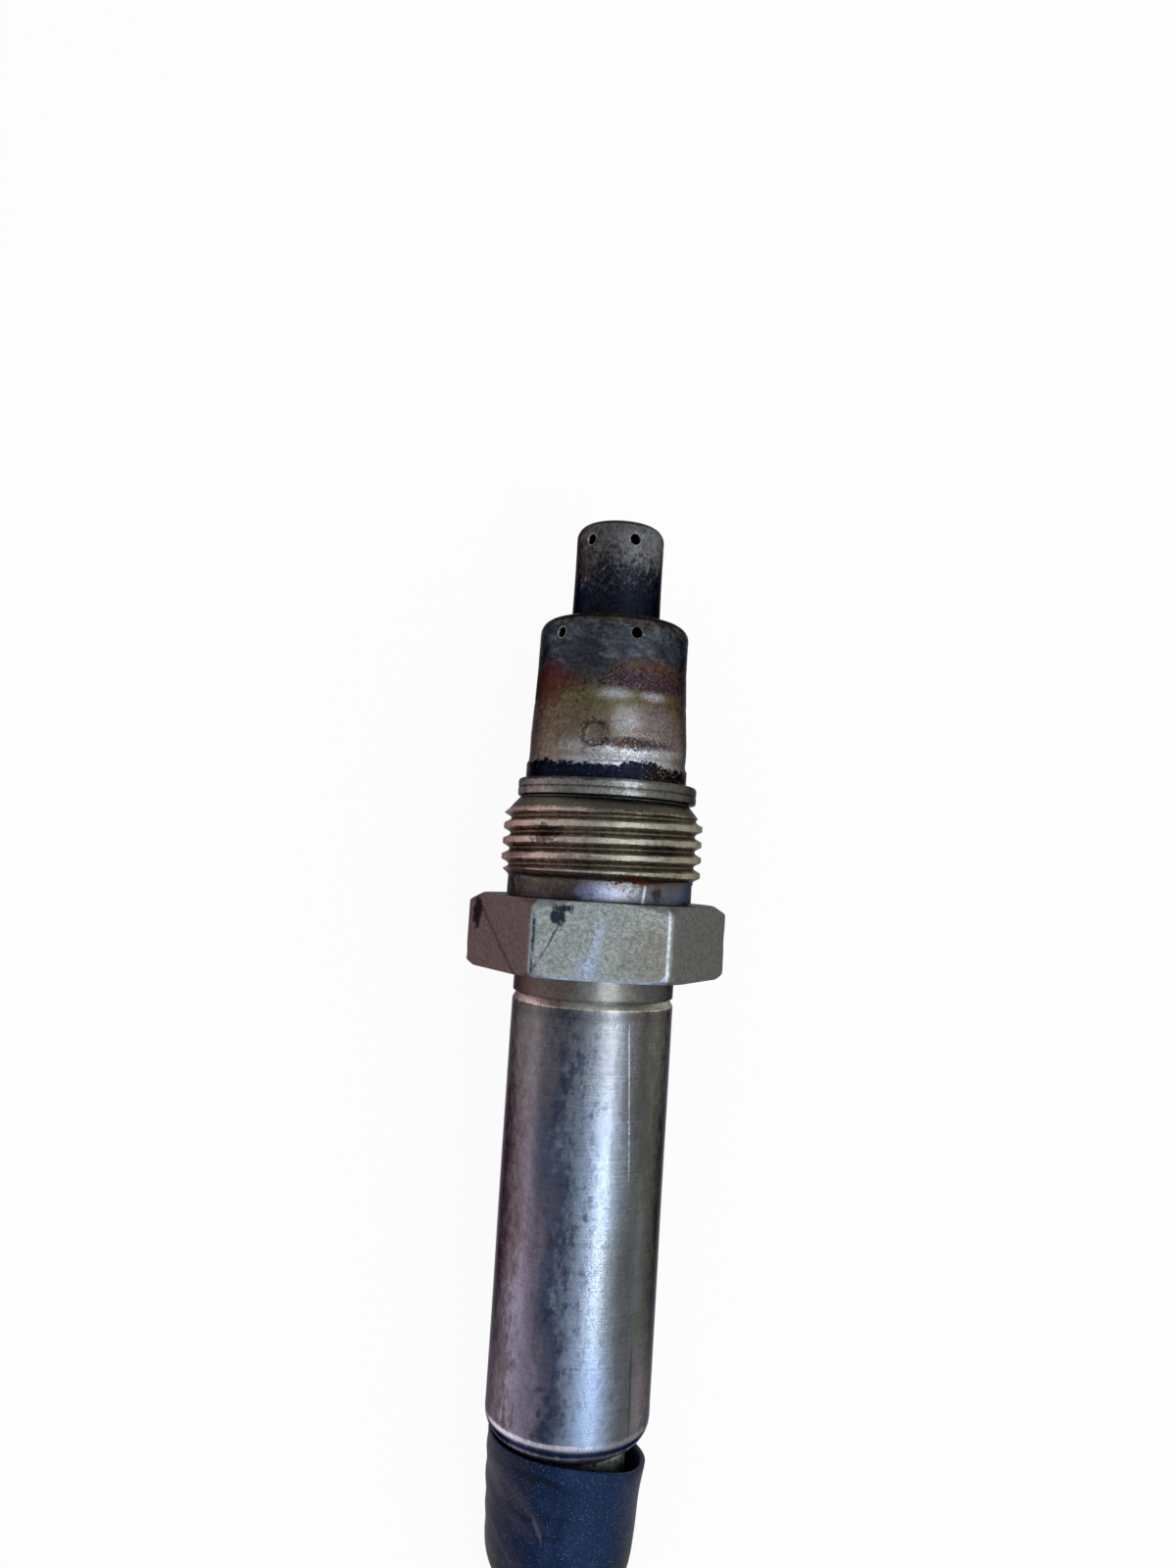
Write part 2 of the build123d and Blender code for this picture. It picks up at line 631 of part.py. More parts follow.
def make_connector_lock():
    width = LATCH_WIDTH - 2 * FIT
    slider = Box(width, SLIDER_LENGTH, SLIDER_HEIGHT, align=(Align.CENTER, Align.MIN, Align.MIN))
    return Pos(0, body_rear + RAIL_SETBACK + (RAIL_LENGTH - SLIDER_LENGTH) / 2, PLUG_HEIGHT) * slider


def make_connector_terminals():
    pins = []
    for x, z in pin_places():
        barrel = along(BARREL_DIAMETER, body_rear + BARREL_SETBACK, pocket_floor, x, z)
        pins.append((blade(x, z) + barrel).solid())
    return Compound(children=pins)


def make_wire_seal():
    seal_rear = pocket_floor - SEAL_THICKNESS
    seal = block(PLUG_WIDTH - 2 * POCKET_WALL, PLUG_HEIGHT - 2 * POCKET_WALL, seal_rear,
                 pocket_floor, PLUG_CORNER / 2)
    for x, z in pin_places():
        seal -= along(BARREL_DIAMETER, seal_rear, pocket_floor, x, z)
    return seal


def make_rear_cap(tail):
    width = PLUG_WIDTH - 2 * CAP_INSET
    tall = PLUG_HEIGHT - 2 * CAP_INSET
    cap = block(width, tall, 0, body_rear, PLUG_CORNER)
    cap -= block(width - 2 * CAP_WALL, tall - 2 * CAP_WALL, CAP_FLOOR, body_rear, PLUG_CORNER / 2)
    snout = Polyline((0, -SNOUT_LENGTH), (SNOUT_END_DIAMETER / 2, -SNOUT_LENGTH),
                     (SNOUT_DIAMETER / 2, 0), (0, 0), close=True)
    cap += Pos(0, 0, plug_axis) * revolve(make_face(snout.edges()), Axis.Y)
    return cap - along(CABLE_DIAMETER, 0, CAP_FLOOR) - tail


def make_connector_leads():
    """The cable's wires, fanned out inside the cap from the cable's end to the pins."""
    leads = []
    for (x, z), (wire_x, wire_z) in zip(pin_places(), wire_places()):
        start = Vector(wire_x * LEAD_GATHER, 0, plug_axis + wire_z * LEAD_GATHER)
        bend = Vector(start.X, CAP_FLOOR, start.Z)
        settle = Vector(x, body_rear, plug_axis + z)
        finish = Vector(x, body_rear + BARREL_SETBACK, plug_axis + z)
        path = Polyline(start, bend, settle, finish)
        section = Plane(origin=start, z_dir=(0, 1, 0)) * Circle(LEAD_DIAMETER / 2)
        leads.append(sweep(section, path, transition=Transition.ROUND).solid())
    return Compound(children=leads)


# ---- write every piece ----

cable = cord_tube(cable_route)
cable_tail = cord_tube(tail_route)
tie = make_coil_tie()

sensor_pieces = {
    "outer_protection_tube": make_outer_tube(),
    "inner_protection_tube": make_inner_tube(),
    "seal_ring": make_seal_ring(),
    "hex_housing": make_hex_housing(),
    "sensing_element": bar(ELEMENT_WIDTH, ELEMENT_THICKNESS, element_rear, element_front),
    "front_bush": make_stack_piece(talc_front, stack_front),
    "talc_seal": make_stack_piece(rear_bush_front, talc_front),
    "rear_bush": make_stack_piece(packing_front, rear_bush_front),
    "packing_ring": ring(CERAMIC_BORE - 2 * FIT, PACKING_RING_BORE, lip_front, packing_front),
    "rear_shell": make_rear_shell(),
    "contact_holder_upper": make_holder_half(-1),
    "contact_holder_lower": make_holder_half(1),
    "holder_clamp": ring(HOLDER_DIAMETER + 2 * CLAMP_WALL, HOLDER_DIAMETER,
                         holder_rear + CLAMP_OFFSET, holder_rear + CLAMP_OFFSET + CLAMP_LENGTH),
    "contact_springs": make_contact_springs(),
    "crimp_sleeves": make_crimp_sleeves(),
    "lead_wires": make_lead_wires(),
    "grommet": make_grommet(),
}
for name, piece in sensor_pieces.items():
    write(name, lay_down * piece)

cord_pieces = {
    "rubber_boot": make_rubber_boot(cable),
    "cable": cable,
    "cable_coil": make_cable_coil(tie),
    "coil_tie": tie,
    "cable_tail": cable_tail,
}
for name, piece in cord_pieces.items():
    write(name, piece)

connector_pieces = {
    "connector_body": make_connector_body(),
    "connector_rear_cap": make_rear_cap(plug_place.inverse() * cable_tail),
    "connector_lock": make_connector_lock(),
    "connector_terminals": make_connector_terminals(),
    "connector_wire_seal": make_wire_seal(),
    "connector_leads": make_connector_leads(),
}
for name, piece in connector_pieces.items():
    write(name, plug_place * piece)

print("tilt", round(math.degrees(tilt), 3), "seat", round(seat_y, 3), round(seat_height, 3))
print("cable", [tuple(round(value, 3) for value in point) for point in cable_route])
print("tail", [tuple(round(value, 3) for value in point) for point in tail_route])
print("boot end", on_axis(boot_rear), "coil centre", coil_centre)
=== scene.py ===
"""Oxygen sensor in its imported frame: modelled skins, painted metals, rubber and cable."""
import math

import bpy
import bmesh
import numpy as np
from mathutils import Matrix, Vector


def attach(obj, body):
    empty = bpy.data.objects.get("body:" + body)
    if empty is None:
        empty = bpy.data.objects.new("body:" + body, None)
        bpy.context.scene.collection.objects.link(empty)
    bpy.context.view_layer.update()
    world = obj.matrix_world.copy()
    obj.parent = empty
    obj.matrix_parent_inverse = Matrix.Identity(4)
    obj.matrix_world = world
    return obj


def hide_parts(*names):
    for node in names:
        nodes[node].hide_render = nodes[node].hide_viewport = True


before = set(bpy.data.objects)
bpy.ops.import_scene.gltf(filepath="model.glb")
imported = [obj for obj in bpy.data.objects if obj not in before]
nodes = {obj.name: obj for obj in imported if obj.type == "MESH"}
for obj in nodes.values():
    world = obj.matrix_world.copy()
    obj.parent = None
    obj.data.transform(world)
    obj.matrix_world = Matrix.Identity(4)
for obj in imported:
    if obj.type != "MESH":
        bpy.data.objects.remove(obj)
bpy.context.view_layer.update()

# ---- the sensor's own frame -------------------------------------------------
# Millimetres: x across, y down, z along the axis, with 0 just behind the hexagon's front face.
# Angles are from straight up, positive towards +X.
MM = 0.001
TILT = math.radians(4.4327391)
SEAT = Vector((0.0, 25.3415938, 11.4810664)) * MM
TURN = TILT - math.pi / 2
LAID = Matrix.Translation(SEAT) @ Matrix.Rotation(TURN, 4, "X") @ Matrix.Scale(MM, 4)
LAID_NP = np.array(LAID)


def smooth(value, low, high):
    """0 at low, 1 at high, with an easy slope between; works on arrays."""
    t = np.clip((np.asarray(value, float) - low) / (high - low), 0, 1)
    return t * t * (3 - 2 * t)


# ---- mesh helpers -----------------------------------------------------------

def add_object(name, data):
    made = bpy.data.objects.new(name, data)
    bpy.context.scene.collection.objects.link(made)
    return made


def add_mesh(name, points, faces, sharp=40.0, laid=True):
    """A smooth-shaded piece from sensor-frame (laid) or row-frame millimetres."""
    points = np.asarray(points, float).reshape(-1, 3)
    if laid:
        points = points @ LAID_NP[:3, :3].T + LAID_NP[:3, 3]
    else:
        points = points * MM
    mesh = bpy.data.meshes.new(name)
    mesh.from_pydata(points.tolist(), [], faces)
    mesh.update()
    tidy_mesh(mesh, sharp)
    return add_object(name, mesh)


def tidy_mesh(mesh, sharp=40.0):
    """Joins doubled points, turns the faces outward and smooths all but sharp edges."""
    work = bmesh.new()
    work.from_mesh(mesh)
    bmesh.ops.remove_doubles(work, verts=work.verts, dist=2e-7)
    bmesh.ops.dissolve_degenerate(work, edges=work.edges, dist=1e-8)
    bmesh.ops.recalc_face_normals(work, faces=work.faces)
    for face in work.faces:
        face.smooth = True
    work.to_mesh(mesh)
    work.free()
    mesh.set_sharp_from_angle(angle=math.radians(sharp))


def grid_faces(rows, columns, wrap_rows=False):
    """Quads between rings of points, joined end to end where the rows wrap."""
    faces = []
    for i in range(rows if wrap_rows else rows - 1):
        a, b = i * columns, ((i + 1) % rows) * columns
        for j in range(columns):
            k = (j + 1) % columns
            faces.append((a + j, a + k, b + k, b + j))
    return faces


def outline(*corners, step):
    """A closed profile from (radius, height[, rounding]) corners, with points a step apart."""
    count = len(corners)
    runs = []
    for i, corner in enumerate(corners):
        here = np.array(corner[:2], float)
        if len(corner) == 2:
            runs.append([here])
            continue
        before = np.array(corners[i - 1][:2], float) - here
        after = np.array(corners[(i + 1) % count][:2], float) - here
        before, after = before / np.linalg.norm(before), after / np.linalg.norm(after)
        half = math.acos(np.clip(before @ after, -1, 1)) / 2
        back = corner[2] / math.tan(half)
        middle = here + (before + after) / np.linalg.norm(before + after) * corner[2] / math.sin(half)
        start, end = here + before * back - middle, here + after * back - middle
        sweep = math.pi - 2 * half
        bits = max(3, int(sweep / math.radians(12)))
        arc = []
        for k in range(bits + 1):
            t = k / bits
            mix = start * math.sin((1 - t) * sweep) + end * math.sin(t * sweep)
            arc.append(middle + mix / math.sin(sweep))
        runs.append(arc)
    points = []
    for i in range(count):
        points.extend(runs[i])
        a, b = runs[i][-1], runs[(i + 1) % count][0]
        length = np.linalg.norm(b - a)
        if length > 0.3:
            bits = max(1, int(length / step))
            places = [0.06 / length] + [k / bits for k in range(1, bits)] + [1 - 0.06 / length]
            points.extend(a + (b - a) * t for t in sorted(places))
    return np.array(points)


def at_angle(angles, radius, height):
    """Points at angles in degrees from straight up, at a distance from the axis."""
    turn = np.radians(angles)
    return np.stack([radius * np.sin(turn), -radius * np.cos(turn), height], -1)


def turned(name, profile, count, shape):
    """A turned skin; shape(radius, height, angle in degrees) may move radii and heights."""
    angles = np.arange(count) * 360.0 / count
    radius = np.repeat(profile[:, :1], count, 1)
    height = np.repeat(profile[:, 1:2], count, 1)
    around = np.repeat(angles[None, :], len(profile), 0)
    radius, height = shape(radius, height, around)
    return add_mesh(name, at_angle(around, radius, height), grid_faces(len(profile), count, wrap_rows=True))


def ripple(*terms):
    """A smooth repeatable waviness: terms are (size, around, along, phase)."""
    def wave(around, height):
        total = 0
        for size, turns, along, phase in terms:
            total = total + size * np.sin(np.radians(around) * turns + height * along + phase)
        return total
    return wave


def cut(piece, cutters):
    """Takes the cutters out of the piece, and removes them."""
    for cutter in cutters:
        step = piece.modifiers.new("cut", "BOOLEAN")
        step.operation, step.solver, step.object = "DIFFERENCE", "EXACT", cutter
    dg = bpy.context.evaluated_depsgraph_get()
    mesh = bpy.data.meshes.new_from_object(piece.evaluated_get(dg))
    piece.modifiers.clear()
    old = piece.data
    piece.data = mesh
    mesh.name = piece.name
    bpy.data.meshes.remove(old)
    for cutter in cutters:
        bpy.data.objects.remove(cutter)
    tidy_mesh(mesh)


def drill(angle, height, radius, depth=1.2, count=40):
    """A round cutter square to the axis at an angle and height; it rounds the rim a little."""
    across = np.arange(count) * 2 * math.pi / count
    turn = math.radians(angle)
    out = np.array([math.sin(turn), -math.cos(turn), 0])
    side = np.array([math.cos(turn), math.sin(turn), 0])
    up = np.array([0, 0, 1.0])
    sizes = [(radius - depth, 0.0), (radius - depth, 1.0), (radius - 0.09, 1.0),
             (radius + 0.03, 1.16), (radius + 0.6, 1.9), (radius + 0.6, 0.0)]
    rings = []
    for reach, size in sizes:
        wide = size * HOLE_DIAMETER / 2
        rings.append([out * reach + side * wide * math.cos(a) + up * (height + wide * math.sin(a))
                      for a in across])
    return add_mesh("drill", rings, grid_faces(len(rings), count))


def drill_holes(tube, holes, radius):
    """Six gas holes round a tube, from their first angle and their height."""
    cut(tube, [drill(holes[0] + 60 * k, holes[1], radius) for k in range(6)])


# ---- paint helpers ----------------------------------------------------------

def add_node(tree, kind, feeds=(), **settings):
    """A shader node with its settings, its inputs fed with sockets, numbers or colours."""
    made = tree.nodes.new("ShaderNode" + kind)
    for key, value in settings.items():
        setattr(made, key, value)
    for key, value in dict(feeds).items():
        feed(tree, value, made.inputs[key])
    return made


def feed(tree, value, socket):
    if isinstance(value, Value):
        value = value.socket
    if isinstance(value, bpy.types.NodeSocket):
        tree.links.new(value, socket)
    elif isinstance(value, tuple) and socket.type == "RGBA":
        socket.default_value = (*value, 1.0)
    else:
        socket.default_value = value


class Value:
    """A number in a material's node tree, with arithmetic."""

    def __init__(self, paint, socket):
        self.paint, self.socket = paint, socket

    def __add__(self, other):
        return self.paint.math("ADD", self, other)

    def __sub__(self, other):
        return self.paint.math("SUBTRACT", self, other)

    def __rsub__(self, other):
        return self.paint.math("SUBTRACT", other, self)

    def __mul__(self, other):
        return self.paint.math("MULTIPLY", self, other)

    def __truediv__(self, other):
        return self.paint.math("DIVIDE", self, other)

    def __neg__(self):
        return self.paint.math("MULTIPLY", self, -1.0)

    def __abs__(self):
        return self.paint.math("ABSOLUTE", self)

    __radd__, __rmul__ = __add__, __mul__

    def step(self, low, high):
        """0 at low and 1 at high, eased; low may be above high."""
        start, end, first, last = (high, low, 1, 0) if low > high else (low, high, 0, 1)
        made = self.paint.node("MapRange", {"Value": self, "From Min": start, "From Max": end,
                                            "To Min": first, "To Max": last},
                               interpolation_type="SMOOTHSTEP")
        return Value(self.paint, made.outputs[0])

    def band(self, low, high, edge):
        """1 between low and high, eased to 0 over twice the edge at each end."""
        return self.step(low - edge, low + edge) * self.step(high + edge, high - edge)

    def spread(self, share=1.0):
        """A noise's usual range drawn out to -share...share."""
        return (self.step(0.30, 0.70) - 0.5) * (2 * share)


class Tint(Value):
    """A colour in a material's node tree, to be painted over."""

    def coat(self, share, colour):
        """Paints a colour over it, wholly where the share is 1."""
        self.socket = self.paint.mix(share, self, colour).socket

    def shade(self, factor):
        """Makes it brighter or darker by a factor."""
        made = self.paint.node("VectorMath", {0: self, "Scale": factor}, operation="SCALE")
        self.socket = made.outputs[0]


class Paint:
    """One procedural material, painted over the sensor's own millimetre frame."""

    def __init__(self, name, laid=True, **constants):
        self.material = bpy.data.materials.new(name)
        self.material.use_nodes = True
        self.tree = self.material.node_tree
        self.shader = self.tree.nodes["Principled BSDF"]
        for key, value in constants.items():
            title = key.replace("_", " ").title().replace("Ior", "IOR")
            self.shader.inputs[title].default_value = value
        lie = {"Location": SEAT, "Rotation": (TURN, 0, 0)} if laid else {}
        mapping = self.node("Mapping", {"Vector": self.node("TexCoord").outputs["Object"],
                                        "Scale": (MM, MM, MM), **lie}, vector_type="TEXTURE")
        self.place = mapping.outputs["Vector"]
        split = self.node("SeparateXYZ", {0: self.place})
        self.x, self.y, self.z = (Value(self, split.outputs[i]) for i in range(3))
        if laid:
            self.up = -self.y
            self.radius = self.hypot(self.x, self.y)
            self.turn = self.math("ARCTAN2", self.x, self.up)
            self.angle = self.turn * (180 / math.pi)

    def node(self, kind, feeds=(), **settings):
        return add_node(self.tree, kind, feeds, **settings)

    def math(self, operation, *values):
        return Value(self, self.node("Math", enumerate(values), operation=operation).outputs[0])

    def hypot(self, a, b):
        return self.math("SQRT", a * a + b * b)

    def biggest(self, first, *others):
        for other in others:
            first = self.math("MAXIMUM", first, other)
        return first

    def vector(self, *values):
        return self.node("CombineXYZ", enumerate(values)).outputs[0]

    def scaled(self, sizes, shift):
        """The place, stretched by sizes and moved by shift, for a texture."""
        moved = (shift, shift * 0.7, -shift)
        made = self.node("VectorMath", {0: self.place, 1: sizes, 2: moved}, operation="MULTIPLY_ADD")
        return made.outputs[0]

    def noise(self, vector, detail, rough, scale=1.0):
        made = self.node("TexNoise",
                         {"Vector": vector, "Scale": scale, "Detail": detail, "Roughness": rough})
        return Value(self, made.outputs["Fac"])

    def grain(self, sizes, detail, rough, shift=0.0, scale=1.0):
        """Noise with as many lumps a millimetre along x, y and z as sizes says."""
        return self.noise(self.scaled(sizes, shift), detail, rough, scale)

    def even_grain(self, size, shift=0.0):
        """The same rough noise in all directions, for rust, dirt and sparkle."""
        return self.grain((size, size, size), 6.0, 0.7, shift)

    def turned_marks(self, along=26.0, turns=1.5):
        """Fine turning marks round the axis: turns lumps a radian, along lumps a millimetre."""
        return self.noise(self.vector(self.turn * turns, self.radius * 0.3, self.z * along), 3.0, 0.6)

    def specks(self, sizes, low, high, shift=0.0, keep=0.5):
        """Small dots: the cells of a Voronoi pattern, a keep share of them filled."""
        made = self.node("TexVoronoi", {"Vector": self.scaled(sizes, shift)})
        chosen = self.node("SeparateColor", {0: made.outputs["Color"]})
        pick = Value(self, chosen.outputs[0]).step(1 - keep, 1 - keep + 0.02)
        return Value(self, made.outputs["Distance"]).step(high, low) * pick

    def mix(self, share, first, second):
        made = self.node("Mix", {"Factor": share, 6: first, 7: second}, data_type="RGBA")
        return Tint(self, made.outputs[2])

    def ramp(self, value, *stops):
        """A colour by value; stops are (value, colour), values anywhere on one scale."""
        low, high = stops[0][0], stops[-1][0]
        scale = self.node("MapRange", {"Value": value, "From Min": low, "From Max": high})
        made = self.node("ValToRGB", {"Fac": scale.outputs[0]})
        made.color_ramp.interpolation = "EASE"
        elements = made.color_ramp.elements
        while len(elements) < len(stops):
            elements.new(0.5)
        for element, (place, colour) in zip(elements, stops):
            element.position = (place - low) / (high - low)
            element.color = (*colour, 1.0)
        return Tint(self, made.outputs["Color"])

    def wheel(self, angle, under, *stops):
        """A colour by angle round the sensor, the same on both sides of its underside."""
        return self.ramp(angle, (-180, under), *stops, (180, under))

    def spot(self, angle, height, wide, tall, edge=0.35, wobble=None):
        """1 inside an ellipse at an angle (degrees) and height, wide and tall in mm."""
        a = (self.turn - math.radians(angle)) * self.radius / wide
        reach = self.hypot(a, (self.z - height) / tall)
        if wobble is not None:
            reach = reach + wobble
        return reach.step(1 + edge, 1 - edge)

    def spots(self, noise, *rows):
        """The strongest of several uneven spots, each (strength, wobble, and what a spot takes)."""
        return self.biggest(*(self.spot(*row, noise.spread(wobble)) * strength
                              for strength, wobble, *row in rows))

    def scratch(self, across, x0, z0, x1, z1, width):
        """A thin line between two places on a surface, where across is its sideways value."""
        length = math.hypot(x1 - x0, z1 - z0)
        cos, sin = (x1 - x0) / length, (z1 - z0) / length
        dx, dz = across - x0, self.z - z0
        along = dx * cos + dz * sin
        return abs(dz * cos - dx * sin).step(width, width * 0.35) * along.band(0, length, width * 2)

    def finish(self, tint, rough, *layers):
        """The material, with bumps one over another; a layer is a height and its full size in mm."""
        normal = {}
        for height, size in layers:
            made = self.node("Bump", {"Height": height, "Distance": size * MM, "Strength": 1.0, **normal})
            normal = {"Normal": made.outputs["Normal"]}
        for key, value in {"Base Color": tint, "Roughness": rough, **normal}.items():
            feed(self.tree, value, self.shader.inputs[key])
        return self.material


def place_piece(piece, material, slot, *replaced):
    """Gives a new piece its material and its body, and hides the CAD nodes it stands for; the slot is not
    used.
    """
    piece.data.materials.clear()
    piece.data.materials.append(material)
    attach(piece, "root")
    if replaced:
        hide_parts(*replaced)
    return piece


def repaint(node, material):
    """A carried-over CAD node takes a procedural material."""
    mesh = nodes[node].data
    if not mesh.materials:
        mesh.materials.append(material)
    for i in range(len(mesh.materials)):
        mesh.materials[i] = material


# ---- shapes: protection tubes and ring --------------------------------------

FOOT, SKIRT, NOSE, TIP = 7.7, 7.9, 7.35, 4.35       # outside radii, from the ring to the tip
TUBE_TOP, TIP_TOP = 27.4, 37.25
SPOT_ANGLE, SPOT_HEIGHT = -12.8, 15.72
SHOULDER, RING_FRONT, HOUSING_FRONT = 9.9, 11.65, 14.1  # the ring lies on the housing's shoulder
HOLE_DIAMETER = 1.0
TUBE_HOLES, TIP_HOLES = (14.0, 25.45), (17.0, 35.2)     # the first hole's angle and their height


def spot_relief(around, height):
    """The welded spot: a shallow dish with a raised ring and a groove round it."""
    across = np.radians((around - SPOT_ANGLE + 180) % 360 - 180) * FOOT
    away = np.hypot(across, height - SPOT_HEIGHT)
    dish = -0.10 * (1 - smooth(away, 0.45, 0.8))
    ridge = 0.07 * np.exp(-((away - 0.88) / 0.17) ** 2)
    groove = -0.09 * np.exp(-((away - 1.22) / 0.16) ** 2)
    return dish + ridge + groove


def outer_tube_shape(radius, height, around):
    """Dents, the line pressed round it, a bead above the foot and the weld spot."""
    outside = radius > 7.25 - 0.35 * smooth(height, 15.8, 22.7)
    wave = ripple((0.02, 3, 0.25, 0.3), (0.016, 5, -0.5, 1.7), (0.012, 9, 0.9, 0.5))
    dent = wave(around, height) * smooth(height, 13.6, 14.6)
    line = -0.035 * np.exp(-((height - 19.3 - 0.25 * np.sin(np.radians(around * 2))) / 0.22) ** 2)
    bead = 0.05 * np.exp(-((height - 13.45) / 0.12) ** 2)
    relief = dent + line + bead + spot_relief(around, height)
    return radius + np.where(outside & (height < 26.0), relief, 0), height


tube_profile = outline(
    (7.2, SHOULDER), (SKIRT, SHOULDER), (SKIRT, 13.15, 0.12), (FOOT, 13.4, 0.1), (FOOT, 15.8), (NOSE, 22.7),
    (NOSE, TUBE_TOP, 1.3), (4.4, TUBE_TOP, 0.12), (4.4, 26.9), (6.85, 26.9, 0.8), (6.85, 22.7),
    (7.2, 15.8), step=0.17)
outer_tube = turned("outer_tube", tube_profile, 360, outer_tube_shape)
drill_holes(outer_tube, TUBE_HOLES, NOSE)


def tip_shape(radius, height, around):
    wave = ripple((0.015, 2, 0.4, 0.2), (0.012, 4, -0.7, 2.0))
    return radius + np.where((radius > 4.2) & (height > 27) & (height < 35.9), wave(around, height),
                             0), height


tip_profile = outline(
    (3.9, HOUSING_FRONT), (7.1, HOUSING_FRONT), (7.1, 14.55), (TIP, 14.55), (TIP, TIP_TOP, 1.3), (0, TIP_TOP),
    (0, 36.8), (3.9, 36.8, 0.85), step=0.45)
inner_tube = turned("inner_tube", tip_profile, 256, tip_shape)
drill_holes(inner_tube, TIP_HOLES, TIP)


def ring_shape(radius, height, around):
    """An uneven rim with a groove, pushed a little to the right."""
    wave = ripple((0.02, 3, 0.0, 0.8), (0.012, 7, 0.0, 2.4), (0.008, 17, 0.0, 0.3))
    groove = -0.06 * np.exp(-((height - 10.75) / 0.09) ** 2)
    moved = radius + wave(around, height) + np.where(radius > 8.6, groove, 0)
    return moved + 0.2 * np.sin(np.radians(around)), height


ring_profile = outline(
    (8.12, SHOULDER), (8.78, SHOULDER, 0.3), (8.78, RING_FRONT, 0.34), (8.12, RING_FRONT, 0.1),
    step=0.12)
seal_ring = turned("gasket_ring", ring_profile, 320, ring_shape)


# ---- shapes: threaded housing -----------------------------------------------

PITCH, CREST, ROOT = 1.5, 10.0, 9.08
HALF_FLATS, HEX_FRONT, HEX_REAR, COLLAR_REAR = 11.0, 0.3, -6.65, -8.8
FRONT_CIRCLE, REAR_CIRCLE = 11.25, 11.85       # how far out the bevels start


def thread_radius(around, height):
    """The worn thread, with its lead-in at the front and its runout at the neck."""
    phase = (height - 7.69 - PITCH * (around - 90) / 360) / PITCH
    off = np.abs(phase - np.round(phase)) * PITCH
    turns = CREST - (CREST - ROOT) * smooth(off, 0.02, 0.70)
    lead = np.interp(height, [8.2, 8.65, 9.3, 9.75], [9.75, 9.25, 8.75, 8.35])
    tail = 9.0 + 1.05 * smooth(height, 2.05, 3.3)
    worn = ripple((0.02, 2, 1.1, 0.4), (0.015, 5, 2.3, 1.0), (0.012, 11, -1.9, 2.0))
    out = np.minimum(np.minimum(turns, lead), np.maximum(tail, 9.0))
    return np.maximum(out, 8.3) + worn(around, height) * 0.7


def hex_radius(around, depth, circle=FRONT_CIRCLE):
    """The bevelled hexagon at a depth behind its nearer face, with worn corners."""
    off = (around + 30) % 60 - 30
    flat = HALF_FLATS / np.cos(np.radians(off))
    corner = HALF_FLATS / math.cos(math.radians(30)) - 0.13
    flat = corner - np.log1p(np.exp((corner - flat) * 9)) / 9
    bevel = circle + 0.02 + 1.732 * depth
    return flat - np.log1p(np.exp((flat - bevel) * 10)) / 10


def hex_nicks(around, height):
    """Small dents in the hexagon's corners and edges."""
    total = 0
    for angle, place, wide, tall, deep in (
            (-33, -0.6, 2.0, 0.35, 0.14), (30.5, -6.2, 1.4, 0.5, 0.12), (-29.4, -6.4, 1.2, 0.4, 0.16),
            (29.0, -5.0, 0.8, 0.4, 0.06), (-76, -0.9, 5.0, 0.5, 0.14), (90, -3.0, 1.2, 0.7, 0.08),
            (151, -2.0, 1.6, 0.6, 0.12), (-150, -5.0, 1.5, 0.6, 0.1), (-90, -5.6, 1.0, 0.5, 0.08)):
        off = (around - angle + 180) % 360 - 180
        total = total - deep * np.exp(-(off / wide) ** 2 - ((height - place) / tall) ** 2)
    return total


